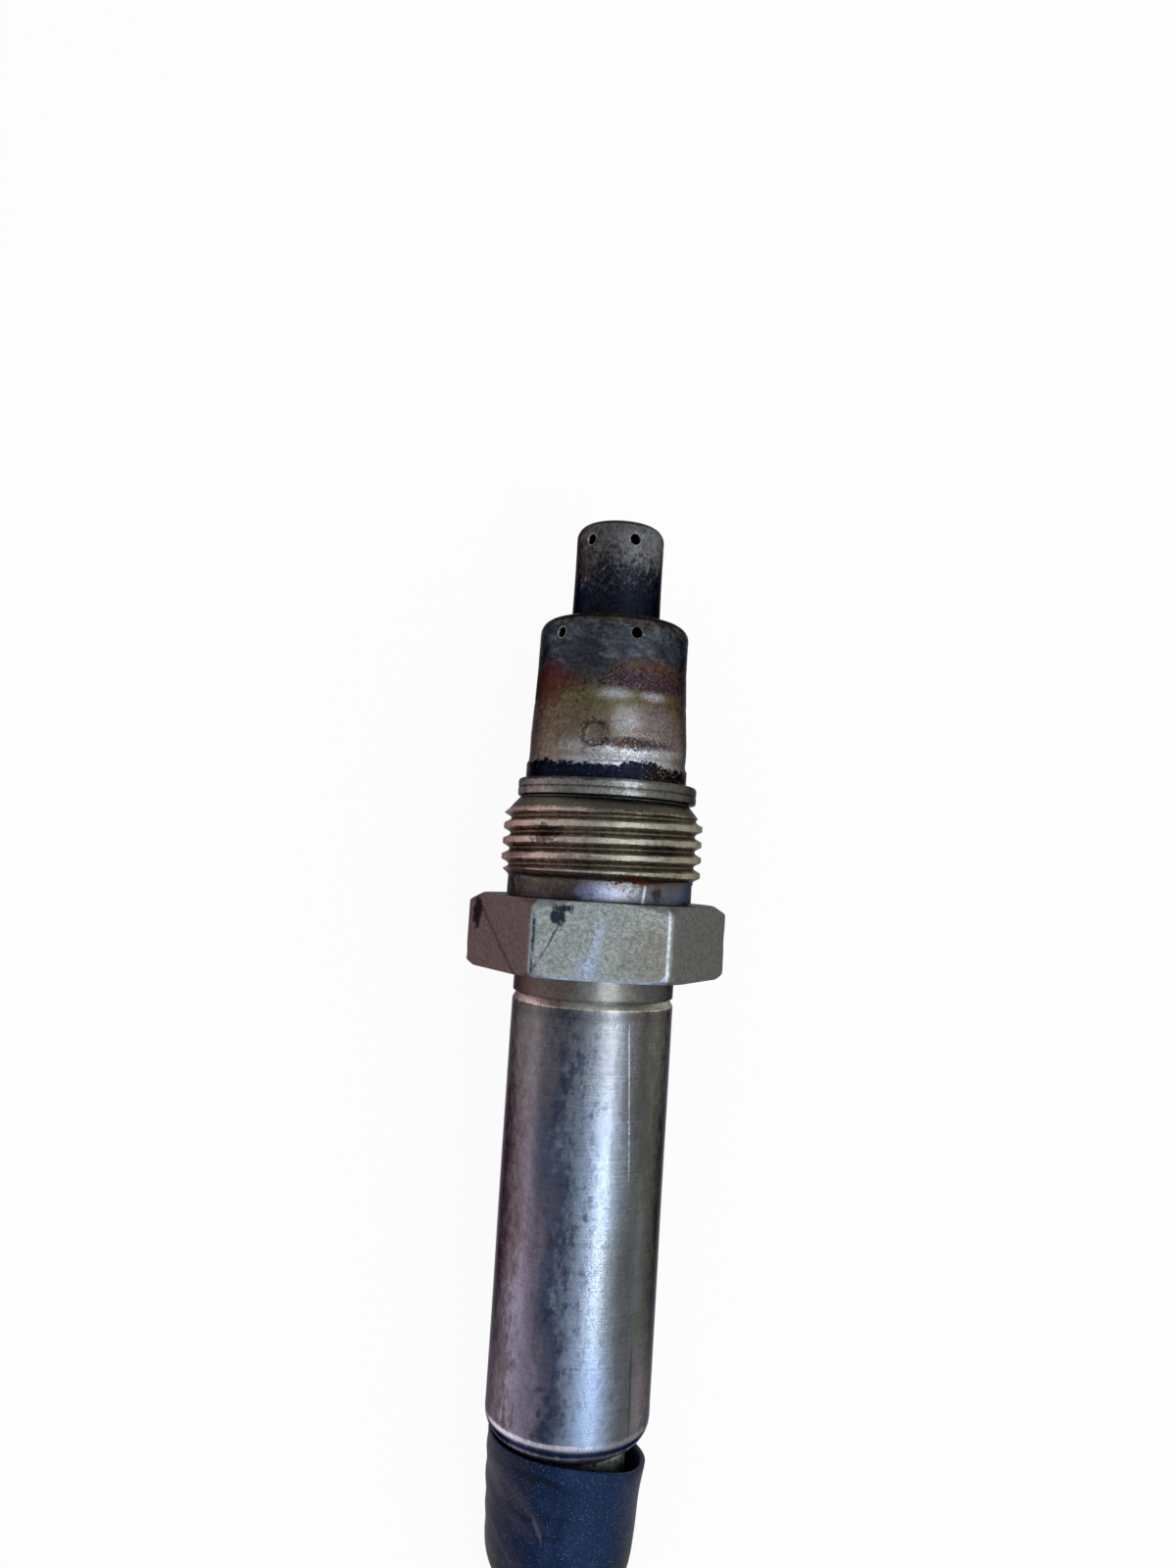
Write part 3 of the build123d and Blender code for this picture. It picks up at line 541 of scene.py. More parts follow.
def housing_rings(angles):
    """(heights, radii) for each ring of the housing's outside, front to rear."""
    rings = []

    def ring(height, radius):
        rings.append((np.full(len(angles), height), np.full(len(angles), radius)))

    for height, radius in ((HOUSING_FRONT, 3.6), (HOUSING_FRONT, 6.9), (HOUSING_FRONT - 0.2, 7.15),
                           (SHOULDER, 7.18), (SHOULDER, 7.3), (SHOULDER, 8.2), (SHOULDER - 0.04, 8.3),
                           (SHOULDER - 0.12, 8.3)):
        ring(height, radius)
    for height in np.arange(9.72, 2.2, -0.085):
        ring(height, thread_radius(angles, height))
    for height in (2.1, 1.9, 1.6, 1.3, 1.0, 0.7, 0.5, 0.38):
        wave = ripple((0.015, 4, 1.0, 0.2), (0.01, 9, 2.0, 0.9))
        ring(height, 9.0 + wave(angles, height))
    ring(HEX_FRONT + 0.02, 9.06)
    ring(HEX_FRONT, 9.15)
    for radius in (9.6, 10.2, 10.8, 11.1):
        ring(HEX_FRONT, np.minimum(radius, hex_radius(angles, 0.0)))
    depths = [0, 0.04, 0.1, 0.16, 0.23, 0.3, 0.37, 0.45, 0.54, 0.63, 0.72, 0.81, 0.9, 1.0]
    tall = HEX_FRONT - HEX_REAR
    for depth in depths + [1.5, 2.2, 2.9, 3.6, 4.3, 5.0, 5.6] + [tall - d for d in reversed(depths)]:
        front = depth < tall / 2
        shape = hex_radius(angles, depth if front else tall - depth, FRONT_CIRCLE if front else REAR_CIRCLE)
        ring(HEX_FRONT - depth, shape + hex_nicks(angles, HEX_FRONT - depth))
    for radius in (11.1, 10.4, 9.4, 8.6, 8.1):
        ring(HEX_REAR, np.minimum(radius, hex_radius(angles, 0.0)))
    ring(HEX_REAR - 0.02, 7.95)
    ring(HEX_REAR - 0.1, 7.82)
    for share in (0.15, 0.32, 0.5, 0.68, 0.85, 0.95):
        height = HEX_REAR + (COLLAR_REAR - HEX_REAR) * share
        ring(height, 7.78 + ripple((0.008, 5, 1.0, 0.2), (0.006, 3, 0.0, 1.2))(angles, height))
    for height, radius in ((COLLAR_REAR + 0.02, 7.74), (COLLAR_REAR, 7.6), (COLLAR_REAR, 7.28),
                           (-12.5, 7.28), (-12.5, 5.0), (-11.7, 5.0), (-11.7, 5.6), (11.1, 5.6),
                           (11.1, 3.6)):
        ring(height, radius)
    return rings


housing_angles = np.arange(480) * 0.75
housing_points = [at_angle(housing_angles, r, h) for h, r in housing_rings(housing_angles)]
housing = add_mesh("threaded_housing", housing_points,
                   grid_faces(len(housing_points), len(housing_angles), wrap_rows=True), sharp=50)


# ---- shapes: rear shell and boot --------------------------------------------

SHELL, SHELL_REAR, CRIMP = 7.8, -49.9, 5.7
SHELL_CORNER, CRIMP_END = 2.25, -58.5
BOOT_END = -88.0


def shell_shape(radius, height, around):
    """A slightly uneven drawn body, and two crimps in the neck."""
    wave = ripple((0.012, 2, 0.11, 0.3), (0.009, 3, -0.19, 1.7), (0.005, 5, 0.35, 0.5))
    body = (radius > 7.7) & (height < -9.5) & (height > -47.2)
    neck = (radius > 5.6) & (radius < 5.8) & (height < -51.5)
    crimps = -0.22 * (np.exp(-((height + 53.6) / 0.5) ** 2) + np.exp(-((height + 56.4) / 0.5) ** 2))
    return radius + np.where(body, wave(around, height), 0) + np.where(neck, crimps, 0), height


shell_profile = outline(
    (7.3, COLLAR_REAR), (SHELL - 0.38, COLLAR_REAR), (SHELL - 0.33, COLLAR_REAR - 0.12, 0.05),
    (SHELL, COLLAR_REAR - 0.75, 0.15), (SHELL, SHELL_REAR, SHELL_CORNER), (CRIMP, SHELL_REAR, 0.4),
    (CRIMP, CRIMP_END), (5.2, CRIMP_END), (5.2, SHELL_REAR + 0.5), (7.3, SHELL_REAR + 0.5, 1.7),
    step=0.4)
rear_shell = turned("steel_shell", shell_profile, 288, shell_shape)


def mouth_height(angles):
    """How far forward the boot's lip reaches at each angle."""
    marks = [-180, -135, -90, -60, -30, 0, 25, 45, 65, 90, 120, 150, 180]
    reach = [-51.0, -50.2, -49.3, -49.55, -49.5, -49.6, -50.2, -50.95, -51.55, -51.9, -52.0, -51.7, -51.0]
    away = (np.asarray(angles) + 180) % 360 - 180
    return sum(np.interp((away + d + 180) % 360 - 180, marks, reach) for d in range(-16, 17, 4)) / 9


BOOT_HEIGHTS = (BOOT_END, -84, -76, -68, -64.2, -63.0, -61.8, -60.7, -59.5, -56.5, -53.0, -50.4, -47.0)
BOOT_RADII = (4.2, 4.3, 4.6, 4.9, 5.15, 5.7, 6.4, 6.85, 7.05, 7.15, 7.28, 7.38, 7.45)


def boot_skin(angles):
    """Rings of the boot from the cavity's floor out over the lip and back to the cable."""
    turn = np.radians(angles)
    lip = mouth_height(angles)
    rings = []
    right, left = (np.exp(-((((angles - side + 180) % 360) - 180) / 40) ** 2) for side in (88, -88))

    def outside(height):
        """Its radius along the angle, with ripples, folds and the gape on the right."""
        base = sum(np.interp(height + shift, BOOT_HEIGHTS, BOOT_RADII) / 7
                   for shift in (-0.9, -0.6, -0.3, 0, 0.3, 0.6, 0.9))
        ripples = ripple((0.035, 2, 0.5, 0.6), (0.03, 3, -0.8, 2.2), (0.02, 5, 1.1, 0.4))
        folds = -0.05 * left * np.cos(2 * np.pi * (height + 52.6) / 2.6) * smooth(height, -60, -56)
        lean = 0.42 * right * smooth(height, -56.5, -50.8)
        pinch = -0.12 * right * smooth(height, -50, -55) * smooth(height, -64, -58)
        radius = base + ripples(angles, height) * smooth(height, -86, -80) + lean + folds + pinch
        ground = (SEAT.z / MM + height * math.sin(TILT) - 0.05) / math.cos(TILT)
        down = -np.cos(turn)        # where it comes down to the ground it lies flat
        return np.where(down > 0.1, np.minimum(radius, ground / np.maximum(down, 0.1)), radius)

    def ring_at(height, radius):
        rings.append(at_angle(angles, radius, height))

    flat = np.ones_like(angles)
    thick = 0.25 + 0.25 * smooth(lip, -49.4, -50.6)      # its edge is thinnest on the shell's corner
    for height, radius in ((-60.2, 3.4), (-60.2, 4.6), (-58.6, 5.0), (-57.0, 5.4), (-55.6, 5.9)):
        ring_at(flat * height, flat * radius)
    for share in (0.0, 0.25, 0.5, 0.75, 1.0):
        height = -54.6 * (1 - share) + (lip - 0.35) * share
        out = share ** 0.6
        ring_at(height, 6.3 * (1 - out) + (outside(lip) - thick - 0.08) * out)
    for below, inward in ((0.12, 1.0), (0.02, 0.75), (0.0, 0.5), (0.03, 0.25), (0.12, 0.07)):
        ring_at(lip - below, outside(lip) - thick * inward)
    for share in np.linspace(0.02, 1, 60) ** 1.15:
        height = lip - 0.25 + (BOOT_END - lip + 0.25) * share
        ring_at(height, outside(height))
    for height, radius in ((BOOT_END - 0.03, 4.1), (BOOT_END - 0.05, 3.9), (BOOT_END - 0.05, 3.4)):
        ring_at(flat * height, flat * radius)
    return rings


boot_angles = np.arange(288) * 1.25
boot_rings = boot_skin(boot_angles)
boot = add_mesh("soft_boot", boot_rings,
                grid_faces(len(boot_rings), len(boot_angles), wrap_rows=True), sharp=60)


# ---- shapes: cable and tie --------------------------------------------------

COIL = np.array([33.0, -106.08, 0.0])      # its centre on the ground
COIL_RADIUS = 32.5
COIL_START = 187.5                          # where the cable meets it and the tie sits, in degrees
CABLE_RADIUS = 3.25
TIE_LIFT = 0.93                             # the tie's band lifts the cable off the ground


def coil_points():
    """The coil's one turn and a bit: flat on the ground, then climbing over its own start."""
    turns = [187.5, 202.5, 217.5, 232.5, 472.5, 487.5, 502.5, 517.5, 532.5, 547.5]
    heights = [4.3, 4.0, 3.45, 3.3, 3.4, 5.0, 7.7, 9.85, 10.65, 10.8]
    reach = COIL_RADIUS / math.cos(math.radians(7.5))
    points = []
    for step in range(25):
        turn = COIL_START + 15 * step
        angle = math.radians(turn)
        height = float(np.interp(turn, turns, heights))
        points.append((COIL[0] + reach * math.cos(angle), COIL[1] + reach * math.sin(angle), height))
    return points


route = [(0, -34.08, 6.875), (0, -56.014, 5.174), (0.1, -79.98, 3.3), (0.5, -94.08, 3.5),
         (0.5, -101.8, 4.05), *coil_points(), (2.92, -119.43, 11.1), (9.5, -127.27, 12.8),
         (18.79, -131.59, 14.6), (29.0, -131.59, 14.6), (32.01, -131.59, 14.6)]
line = bpy.data.curves.new("cable_lead", "CURVE")
line.dimensions = "3D"
spline = line.splines.new("NURBS")
spline.points.add(len(route) - 1)
for point, place in zip(spline.points, route):
    point.co = (*(Vector(place) * MM), 1.0)
spline.order_u = 3
spline.use_endpoint_u = True
spline.resolution_u = 12
line.bevel_depth = CABLE_RADIUS * MM
line.bevel_resolution = 8
line.use_fill_caps = True
cable = add_object("cable_lead", line)


def tie_band():
    """A ratchet tie: a band drawn round the two layers of cable, with its head outside."""
    edge, thick, round_off = 2.3, 0.9, 0.25
    inner = edge - round_off
    section = [(-edge, 0.0), (-inner, 0.0), (inner, 0.0), (edge, 0.0), (edge, thick - round_off),
               (inner, thick), (-inner, thick), (-edge, thick - round_off)]
    rows = []
    for half, layer in ((1, 3.3), (0, 9.8)):        # under the lower cable, then over the upper one
        for k in range(25):
            angle = math.pi * (half + k / 24)
            reach = [CABLE_RADIUS + 0.03 + out for side, out in section]
            rows.append([(side, r * math.cos(angle), layer + TIE_LIFT + r * math.sin(angle))
                         for (side, out), r in zip(section, reach)])
    return rows


def tie_piece():
    rows = tie_band()
    faces = grid_faces(len(rows), 8, wrap_rows=True)
    points = [p for row in rows for p in row]

    def box(side, a0, a1, b0, b1, edge):
        low, high = (-side, a0, b0), (side, a1, b1)
        made = bmesh.new()
        bmesh.ops.create_cube(made, size=1.0)
        for vertex in made.verts:
            for axis in range(3):
                vertex.co[axis] = low[axis] if vertex.co[axis] < 0 else high[axis]
        bmesh.ops.bevel(made, geom=list(made.edges), offset=edge, segments=3, profile=0.5, affect="EDGES")
        start = len(points)
        points.extend(tuple(v.co) for v in made.verts)
        made.verts.index_update()
        faces.extend(tuple(start + v.index for v in f.verts) for f in made.faces)
        made.free()

    box(3.3, 3.35, 8.0, 6.2, 10.6, 0.6)         # the head
    box(2.3, 7.8, 12.4, 8.3, 9.4, 0.25)         # the free end, with its ridges
    for k in range(14):
        box(1.7, 8.4 + k * 0.28, 8.52 + k * 0.28, 9.35, 9.52, 0.03)
    turn = math.radians(COIL_START)
    out = np.array([math.cos(turn), math.sin(turn), 0])
    side = np.array([-math.sin(turn), math.cos(turn), 0])
    placed = [COIL + out * (COIL_RADIUS + a) + side * s + np.array([0, 0, b]) for s, a, b in points]
    return add_mesh("ratchet_tie", placed, faces, sharp=35, laid=False)


tie = tie_piece()


# ---- metals -----------------------------------------------------------------

OUTLINE = (0.30, 0.30, 0.33, 1.0)       # metals reflect less of the pale floor at their outlines


def outline_shade(paint, low=0.5):
    """1 over the middle, down to low at the two sides."""
    return 1.0 - abs(paint.angle).step(48, 84) * (1 - low)


def shell_paint():
    """Drawn steel, with bands of reflection painted into its colour: lilac and blue to the left, a pale
    sheen, olive beyond.
    """
    paint = Paint("shell_steel", metallic=1.0, specular_tint=OUTLINE)
    angle, z = paint.angle, paint.z
    lumps = paint.grain((0.22, 0.22, 0.09), 4.0, 0.6)
    mottle = paint.grain((1.5, 1.5, 0.9), 6.0, 0.72, shift=9.0)
    grit = paint.grain((7.0, 7.0, 9.0), 3.0, 0.7, shift=4.0)
    fine = paint.turned_marks()
    sway = lumps.spread(7) + mottle.spread(5)
    skew = (z + 29) * 0.34 + 2          # its light and dark bands run a little across it
    # painted reflection: its colour by angle stands for what the steel mirrors round it
    tint = paint.wheel(
        angle + sway + skew, (0.10, 0.085, 0.075), (-110, (0.080, 0.060, 0.058)),
        (-70, (0.085, 0.062, 0.066)), (-46, (0.145, 0.112, 0.130)), (-31, (0.155, 0.138, 0.175)),
        (-17, (0.090, 0.108, 0.170)), (-4, (0.23, 0.28, 0.37)), (12, (0.30, 0.36, 0.46)),
        (22, (0.26, 0.295, 0.37)), (34, (0.155, 0.165, 0.175)), (50, (0.085, 0.088, 0.076)),
        (100, (0.070, 0.066, 0.052)))
    front = (z + mottle.spread(3)).step(-24, -9)
    tint.coat(front * 0.6, (0.150, 0.138, 0.124))
    # painted light: the outer sides towards the rear are made lighter
    sides = abs(angle + 4).step(44, 58) * z.step(-34, -46)
    tint.coat(sides * 0.6, (0.24, 0.215, 0.235))
    # painted reflection: a lilac band to the left, towards the rear
    lilac = (angle + sway).band(-46, -27, 5) * z.step(-22, -42)
    tint.coat(lilac * 0.75, (0.30, 0.26, 0.36))
    sheen = front * angle.band(2, 22, 7)
    tint.coat(sheen * 0.7, (0.27, 0.30, 0.34))
    # painted reflection: bluer over the top towards the rear
    sky = (angle + sway).band(0, 26, 8) * z.step(-34, -45)
    tint.coat(sky * 0.6, (0.23, 0.33, 0.52))
    # painted reflection: olive to the right of the top
    olive_reflection = (angle + sway).band(12, 34, 8) * (z + lumps.spread(5)).band(-40, -24, 4)
    tint.coat(olive_reflection * 0.4, (0.16, 0.19, 0.15))
    # blue-black blots inside the painted dark reflection band left of the top; partly uneven surface, partly
    # painted reflection
    blots_and_dark_reflection = paint.grain((0.75, 0.75, 0.5), 7.0, 0.72, shift=3.0).step(0.50, 0.60)
    blots_and_dark_reflection = blots_and_dark_reflection * (angle + mottle.spread(8)).band(-27, -1, 7)
    tint.coat(blots_and_dark_reflection * 0.72, (0.028, 0.038, 0.092))
    # painted reflection: dark blue mottles over the top and to the right
    cloud = mottle.step(0.52, 0.66) * angle.band(-12, 44, 12)
    tint.coat(cloud * 0.42, (0.07, 0.085, 0.125))
    pits = paint.specks((2.2, 2.2, 2.2), 0.08, 0.2, keep=0.16)
    tint.coat(pits * 0.6, (0.03, 0.026, 0.03))
    streaks = paint.noise(paint.vector(paint.turn * 9.0, 0.0, z * 0.1), 3.0, 0.6).step(0.5, 0.75)
    streaks = streaks * angle.band(46, 88, 10) * z.step(-30, -46)
    tint.coat(streaks * 0.7, (0.22, 0.17, 0.15))
    dark_line = paint.scratch(angle, 42, -39.5, 44, -47.5, 1.2)
    tint.coat(dark_line * 0.6, (0.03, 0.026, 0.045))
    # painted highlight: a second thin highlight line right of the top, near the front
    second = paint.scratch(angle + grit.spread(0.5), 24.5, -11, 31, -24.5, 0.55)
    tint.coat(second * 0.6, (0.75, 0.85, 0.95))
    # painted highlight: a bright line along the front bevel, brightest over the top and to the left
    edge = (z + mottle.spread(0.03)).band(COLLAR_REAR - 0.78, COLLAR_REAR + 0.2, 0.06)
    bevel_highlight = paint.wheel(
        angle, (0.3, 0.27, 0.22), (-75, (0.30, 0.20, 0.19)), (-40, (0.82, 0.64, 0.60)),
        (0, (0.80, 0.77, 0.62)), (45, (0.56, 0.54, 0.43)))
    tint.coat(edge * 0.95, bevel_highlight)
    dark_edge = (z + mottle.spread(0.5)).band(COLLAR_REAR - 1.9, COLLAR_REAR - 0.9, 0.35)
    tint.coat(dark_edge * 0.35, (0.04, 0.035, 0.03))
    back = -z + (SHELL_REAR + SHELL_CORNER) + mottle.spread(0.05)      # behind where it rounds off
    # painted highlight and reflection where it rounds off at the rear: a bright rim, strongest on the left, a
    # dark navy band, then a light edge
    rim = (angle.step(45, -30) - angle.step(-58, -84) * 0.6) * 0.75 + 0.15
    tint.coat(rim * back.band(-0.05, 0.36, 0.10), (0.86, 0.80, 0.92))
    tint.coat(back.band(0.52, 1.02, 0.10) * 0.92, (0.012, 0.018, 0.060))
    tint.coat(back.band(1.20, 1.75, 0.10) * 0.8, (0.50, 0.50, 0.58))
    neck = paint.radius.step(6.0, 5.8)
    tint.coat(neck, (0.55, 0.58, 0.56))
    uneven = fine.spread(0.16) + mottle.spread(0.22) + grit.spread(0.15)
    tint.shade((1.0 + uneven * (1 - edge * 0.9)) * outline_shade(paint, 0.85))
    rough = 0.20 + fine.spread(0.04) + mottle.spread(0.06) + blots_and_dark_reflection * 0.08
    rough = rough + z.step(-33, -46) * 0.10
    return paint.finish(tint, rough, (fine, 0.008), (mottle + grit * 0.2, 0.03))


def outer_tube_paint():
    """Heat colours by height, then rust, clean patches painted bright as highlights, the weld spot and the
    dark foot.
    """
    paint = Paint("tube_steel", metallic=1.0, specular_tint=OUTLINE)
    angle, z = paint.angle, paint.z
    big = paint.grain((0.35, 0.35, 0.35), 4.0, 0.6)
    mid = paint.even_grain(1.1, 4.0)
    small = paint.grain((2.6, 2.6, 3.4), 5.0, 0.75, shift=13.0)
    tiny = paint.even_grain(6.5, 8.0)
    slant = paint.noise(paint.vector(paint.turn * 5.0 + z * 1.5, paint.turn * 1.2,
                                     z * 0.7 - paint.turn * 3.0), 5.0, 0.7)
    wave = big.spread(0.45) + mid.spread(0.55) + small.spread(0.25)
    height = z + wave
    tint = paint.ramp(
        height, (12.5, (0.22, 0.18, 0.15)), (14.6, (0.26, 0.22, 0.175)), (16.6, (0.17, 0.140, 0.10)),
        (18.2, (0.15, 0.125, 0.080)), (19.4, (0.125, 0.110, 0.060)), (20.6, (0.082, 0.074, 0.055)),
        (22.0, (0.040, 0.045, 0.056)), (25.4, (0.048, 0.056, 0.070)), (26.6, (0.070, 0.064, 0.052)),
        (27.6, (0.13, 0.105, 0.078)))
    left = angle.step(-18, -58) * z.band(13.4, 19.4, 1.2)
    tint.coat(left * 0.6, (0.13, 0.088, 0.074))
    worn = slant.step(0.50, 0.62) * z.step(21.2, 22.6)
    tint.coat(worn * 0.55, (0.135, 0.145, 0.155))
    dull = slant.step(0.46, 0.36) * z.step(21.0, 22.0)
    tint.coat(dull * 0.6, (0.018, 0.022, 0.034))
    gold = height.band(18.9, 20.5, 0.4) * angle.band(-48, 4, 14) * small.step(0.40, 0.56)
    tint.coat(gold * 0.6, (0.16, 0.138, 0.068))
    rust = paint.spot(-62, 20.6, 3.6, 1.9, 0.5, mid.spread(0.5) + small.spread(0.2))
    tint.coat(rust * small.step(0.38, 0.58), (0.16, 0.036, 0.026))
    tint.coat(rust * 0.45, (0.055, 0.020, 0.020))
    halo = paint.spot(34, 21.9, 4.4, 1.0, 0.5, mid.spread(0.5) + tiny.spread(0.2))
    tint.coat(halo * 0.7, (0.125, 0.062, 0.028))
    plum = paint.spot(24, 21.0, 4.6, 1.10, 0.3, mid.spread(0.45) + small.spread(0.35))
    tint.coat(plum * 0.85, (0.040, 0.021, 0.034))
    tint.coat(plum * tiny.step(0.55, 0.64), (0.24, 0.17, 0.19))
    brown = paint.spot(42, 19.2, 3.6, 1.0, 0.5, mid.spread(0.5) + small.spread(0.3))
    tint.coat(brown * 0.55, (0.115, 0.066, 0.040))
    lilac = paint.spot(30, 16.9, 4.2, 1.5, 0.5, mid.spread(0.5))
    tint.coat(lilac * 0.45, (0.23, 0.20, 0.235))
    # clean patches, painted bright as highlights round the top
    clean_and_highlight = paint.spots(
        small, (1.0, 0.5, 12, 14.5, 5.2, 0.85, 0.5), (1.0, 0.4, 8, 13.2, 5.6, 0.6, 0.4),
        (0.45, 0.6, 9, 17.0, 1.3, 1.3, 0.6), (0.55, 0.6, 0, 19.5, 1.4, 0.5, 0.6),
        (0.5, 0.6, 30, 19.5, 1.3, 0.4, 0.5))
    tint.coat(clean_and_highlight * 0.9, (0.60, 0.63, 0.68))
    flecks = paint.spot(20, 15.0, 4.3, 0.5, 0.4, small.spread(0.45) + tiny.spread(0.3))
    flecks = flecks * small.step(0.41, 0.46)
    tint.coat(flecks * 0.95, (0.035, 0.010, 0.007))
    warm = paint.even_grain(0.9, 31.0).step(0.52, 0.62) * z.band(13.6, 19.4, 0.6)
    tint.coat(warm * small.step(0.42, 0.56) * 0.65, (0.17, 0.070, 0.028))
    drips = paint.noise(paint.vector(paint.turn * 6.0, 3.0, z * 0.35), 4.0, 0.6)
    drips = drips.step(0.54, 0.64) * angle.band(-70, -2, 12) * z.band(13.6, 18.0, 0.9)
    tint.coat(drips * 0.5, (0.075, 0.048, 0.032))
    dots = paint.specks((1.5, 1.5, 1.5), 0.08, 0.24, keep=0.4)
    tint.coat(dots * 0.65, (0.030, 0.021, 0.021))
    fringe = small.spread(0.25)
    away = paint.spot(SPOT_ANGLE, SPOT_HEIGHT, 1.28, 1.28, 0.14, fringe)
    away = away - paint.spot(SPOT_ANGLE, SPOT_HEIGHT, 0.95, 0.95, 0.16, fringe)
    tint.coat(away * mid.step(0.30, 0.46) * 0.95, (0.040, 0.022, 0.014))
    inner = paint.spot(SPOT_ANGLE, SPOT_HEIGHT, 0.7, 0.7, 0.3)
    tint.coat(inner * 0.5, (0.13, 0.125, 0.115))
    foot_line = z + mid.spread(0.22) + small.spread(0.22) - angle.band(8, 36, 6) * 0.45
    foot_line = foot_line - angle.step(-24, -50) * 0.3
    foot = foot_line.step(13.02, 12.84)
    soil = paint.wheel(
        angle + small.spread(8), (0.02, 0.018, 0.02), (-50, (0.008, 0.010, 0.018)),
        (-8, (0.008, 0.011, 0.026)), (20, (0.012, 0.014, 0.030)), (34, (0.022, 0.014, 0.011)),
        (60, (0.011, 0.010, 0.016)))
    missing = (small + angle.step(8, 40) * 0.06).step(0.62, 0.69)
    tint.coat(foot * (1.0 - missing), soil)
    shine = foot * tiny.step(0.60, 0.68) * angle.band(-24, 24, 10)
    tint.coat(shine * 0.5, (0.22, 0.25, 0.36))
    hole = hole_mask(paint, TUBE_HOLES, NOSE)
    tint.coat(hole, (0.34, 0.34, 0.33))
    inside = paint.radius.step(7.28, 7.0) * z.step(27.3, 26.95)
    tint.coat(inside, (0.02, 0.018, 0.016))
    uneven = small.spread(0.42) + tiny.spread(0.26) + mid.spread(0.15)
    # painted shade: darker towards both outlines, a little more on the right
    side = outline_shade(paint, 0.35) * (1.0 - angle.step(30, 62) * 0.15)
    tint.shade((0.90 + uneven) * side)
    rough = 0.29 + mid.spread(0.08) + small.spread(0.09) + rust * 0.25 - clean_and_highlight * 0.07
    return paint.finish(tint, rough, (tiny, 0.035), (small, 0.05), (mid + rust * 0.6 + flecks * 0.5, 0.08))


def hole_mask(paint, holes, radius):
    """The bright rim of each gas hole, a painted highlight where it is cut through the wall."""
    angle, height = holes
    cell = paint.math("PINGPONG", paint.angle - angle + 360, 30.0)
    sector = cell * (math.pi / 180 * radius)
    away = paint.hypot(sector, paint.z - height)
    # painted highlight: the rim, and the outer part of the cut wall
    rim = away.band(0.50, 0.585, 0.012)
    wall = away.step(0.53, 0.51) * paint.radius.step(radius - 0.28, radius - 0.1)
    return paint.biggest(rim * paint.radius.step(radius - 0.3, radius - 0.1), wall * 0.8)


def inner_tube_paint():
    """Soot at the foot, bare grey metal towards the end, scuffs and chips."""
    paint = Paint("tip_steel", metallic=1.0, specular_tint=OUTLINE)
    angle, z = paint.angle, paint.z
    mid = paint.even_grain(1.3, 2.0)
    small = paint.grain((3.0, 3.0, 2.2), 5.0, 0.75, shift=17.0)
    tiny = paint.even_grain(7.0, 5.0)
    height = z + mid.spread(1.1) + small.spread(0.7)
    tint = paint.ramp(
        height, (27.0, (0.007, 0.008, 0.012)), (30.0, (0.009, 0.012, 0.021)), (32.4, (0.020, 0.022, 0.030)),
        (34.2, (0.062, 0.060, 0.062)), (36.0, (0.105, 0.104, 0.102)), (37.4, (0.15, 0.130, 0.105)))
    light = small.step(0.50, 0.62) * height.step(29.5, 33.5) * angle.band(-50, 56, 14)
    tint.coat(light * 0.5, (0.11, 0.108, 0.105))
    # painted highlight: lighter over the top and the right near its end
    upper = angle.step(-30, 20) * height.step(31.5, 35.0)
    tint.coat(upper * 0.7, (0.19, 0.195, 0.20))
    left = angle.step(-24, -58) * z.step(30.0, 33)
    tint.coat(left * 0.55, (0.070, 0.042, 0.038))
    scuff = paint.noise(paint.vector(paint.turn * 7.0 - z * 1.2, 0.0, z * 0.6), 5.0, 0.7)
    scuff = scuff.step(0.56, 0.66) * z.step(29.2, 32.0) * small.step(0.42, 0.54)
    tint.coat(scuff * 0.5, (0.26, 0.26, 0.27))
    chips = paint.specks((1.8, 1.8, 1.3), 0.08, 0.22, keep=0.26)
    tint.coat(chips * 0.55, (0.17, 0.17, 0.19))
    tint.coat(hole_mask(paint, TIP_HOLES, TIP), (0.34, 0.35, 0.36))
    inside = paint.radius.step(4.2, 3.95) * z.step(37.1, 36.8)
    tint.coat(inside, (0.008, 0.008, 0.008))
    uneven = small.spread(0.42) + tiny.spread(0.28)
    tint.shade((1.0 + uneven) * outline_shade(paint, 0.35))
    rough = 0.33 + mid.spread(0.09) + small.spread(0.07) + light * 0.08
    return paint.finish(tint, rough, (tiny, 0.03), (small, 0.04), (mid, 0.05))


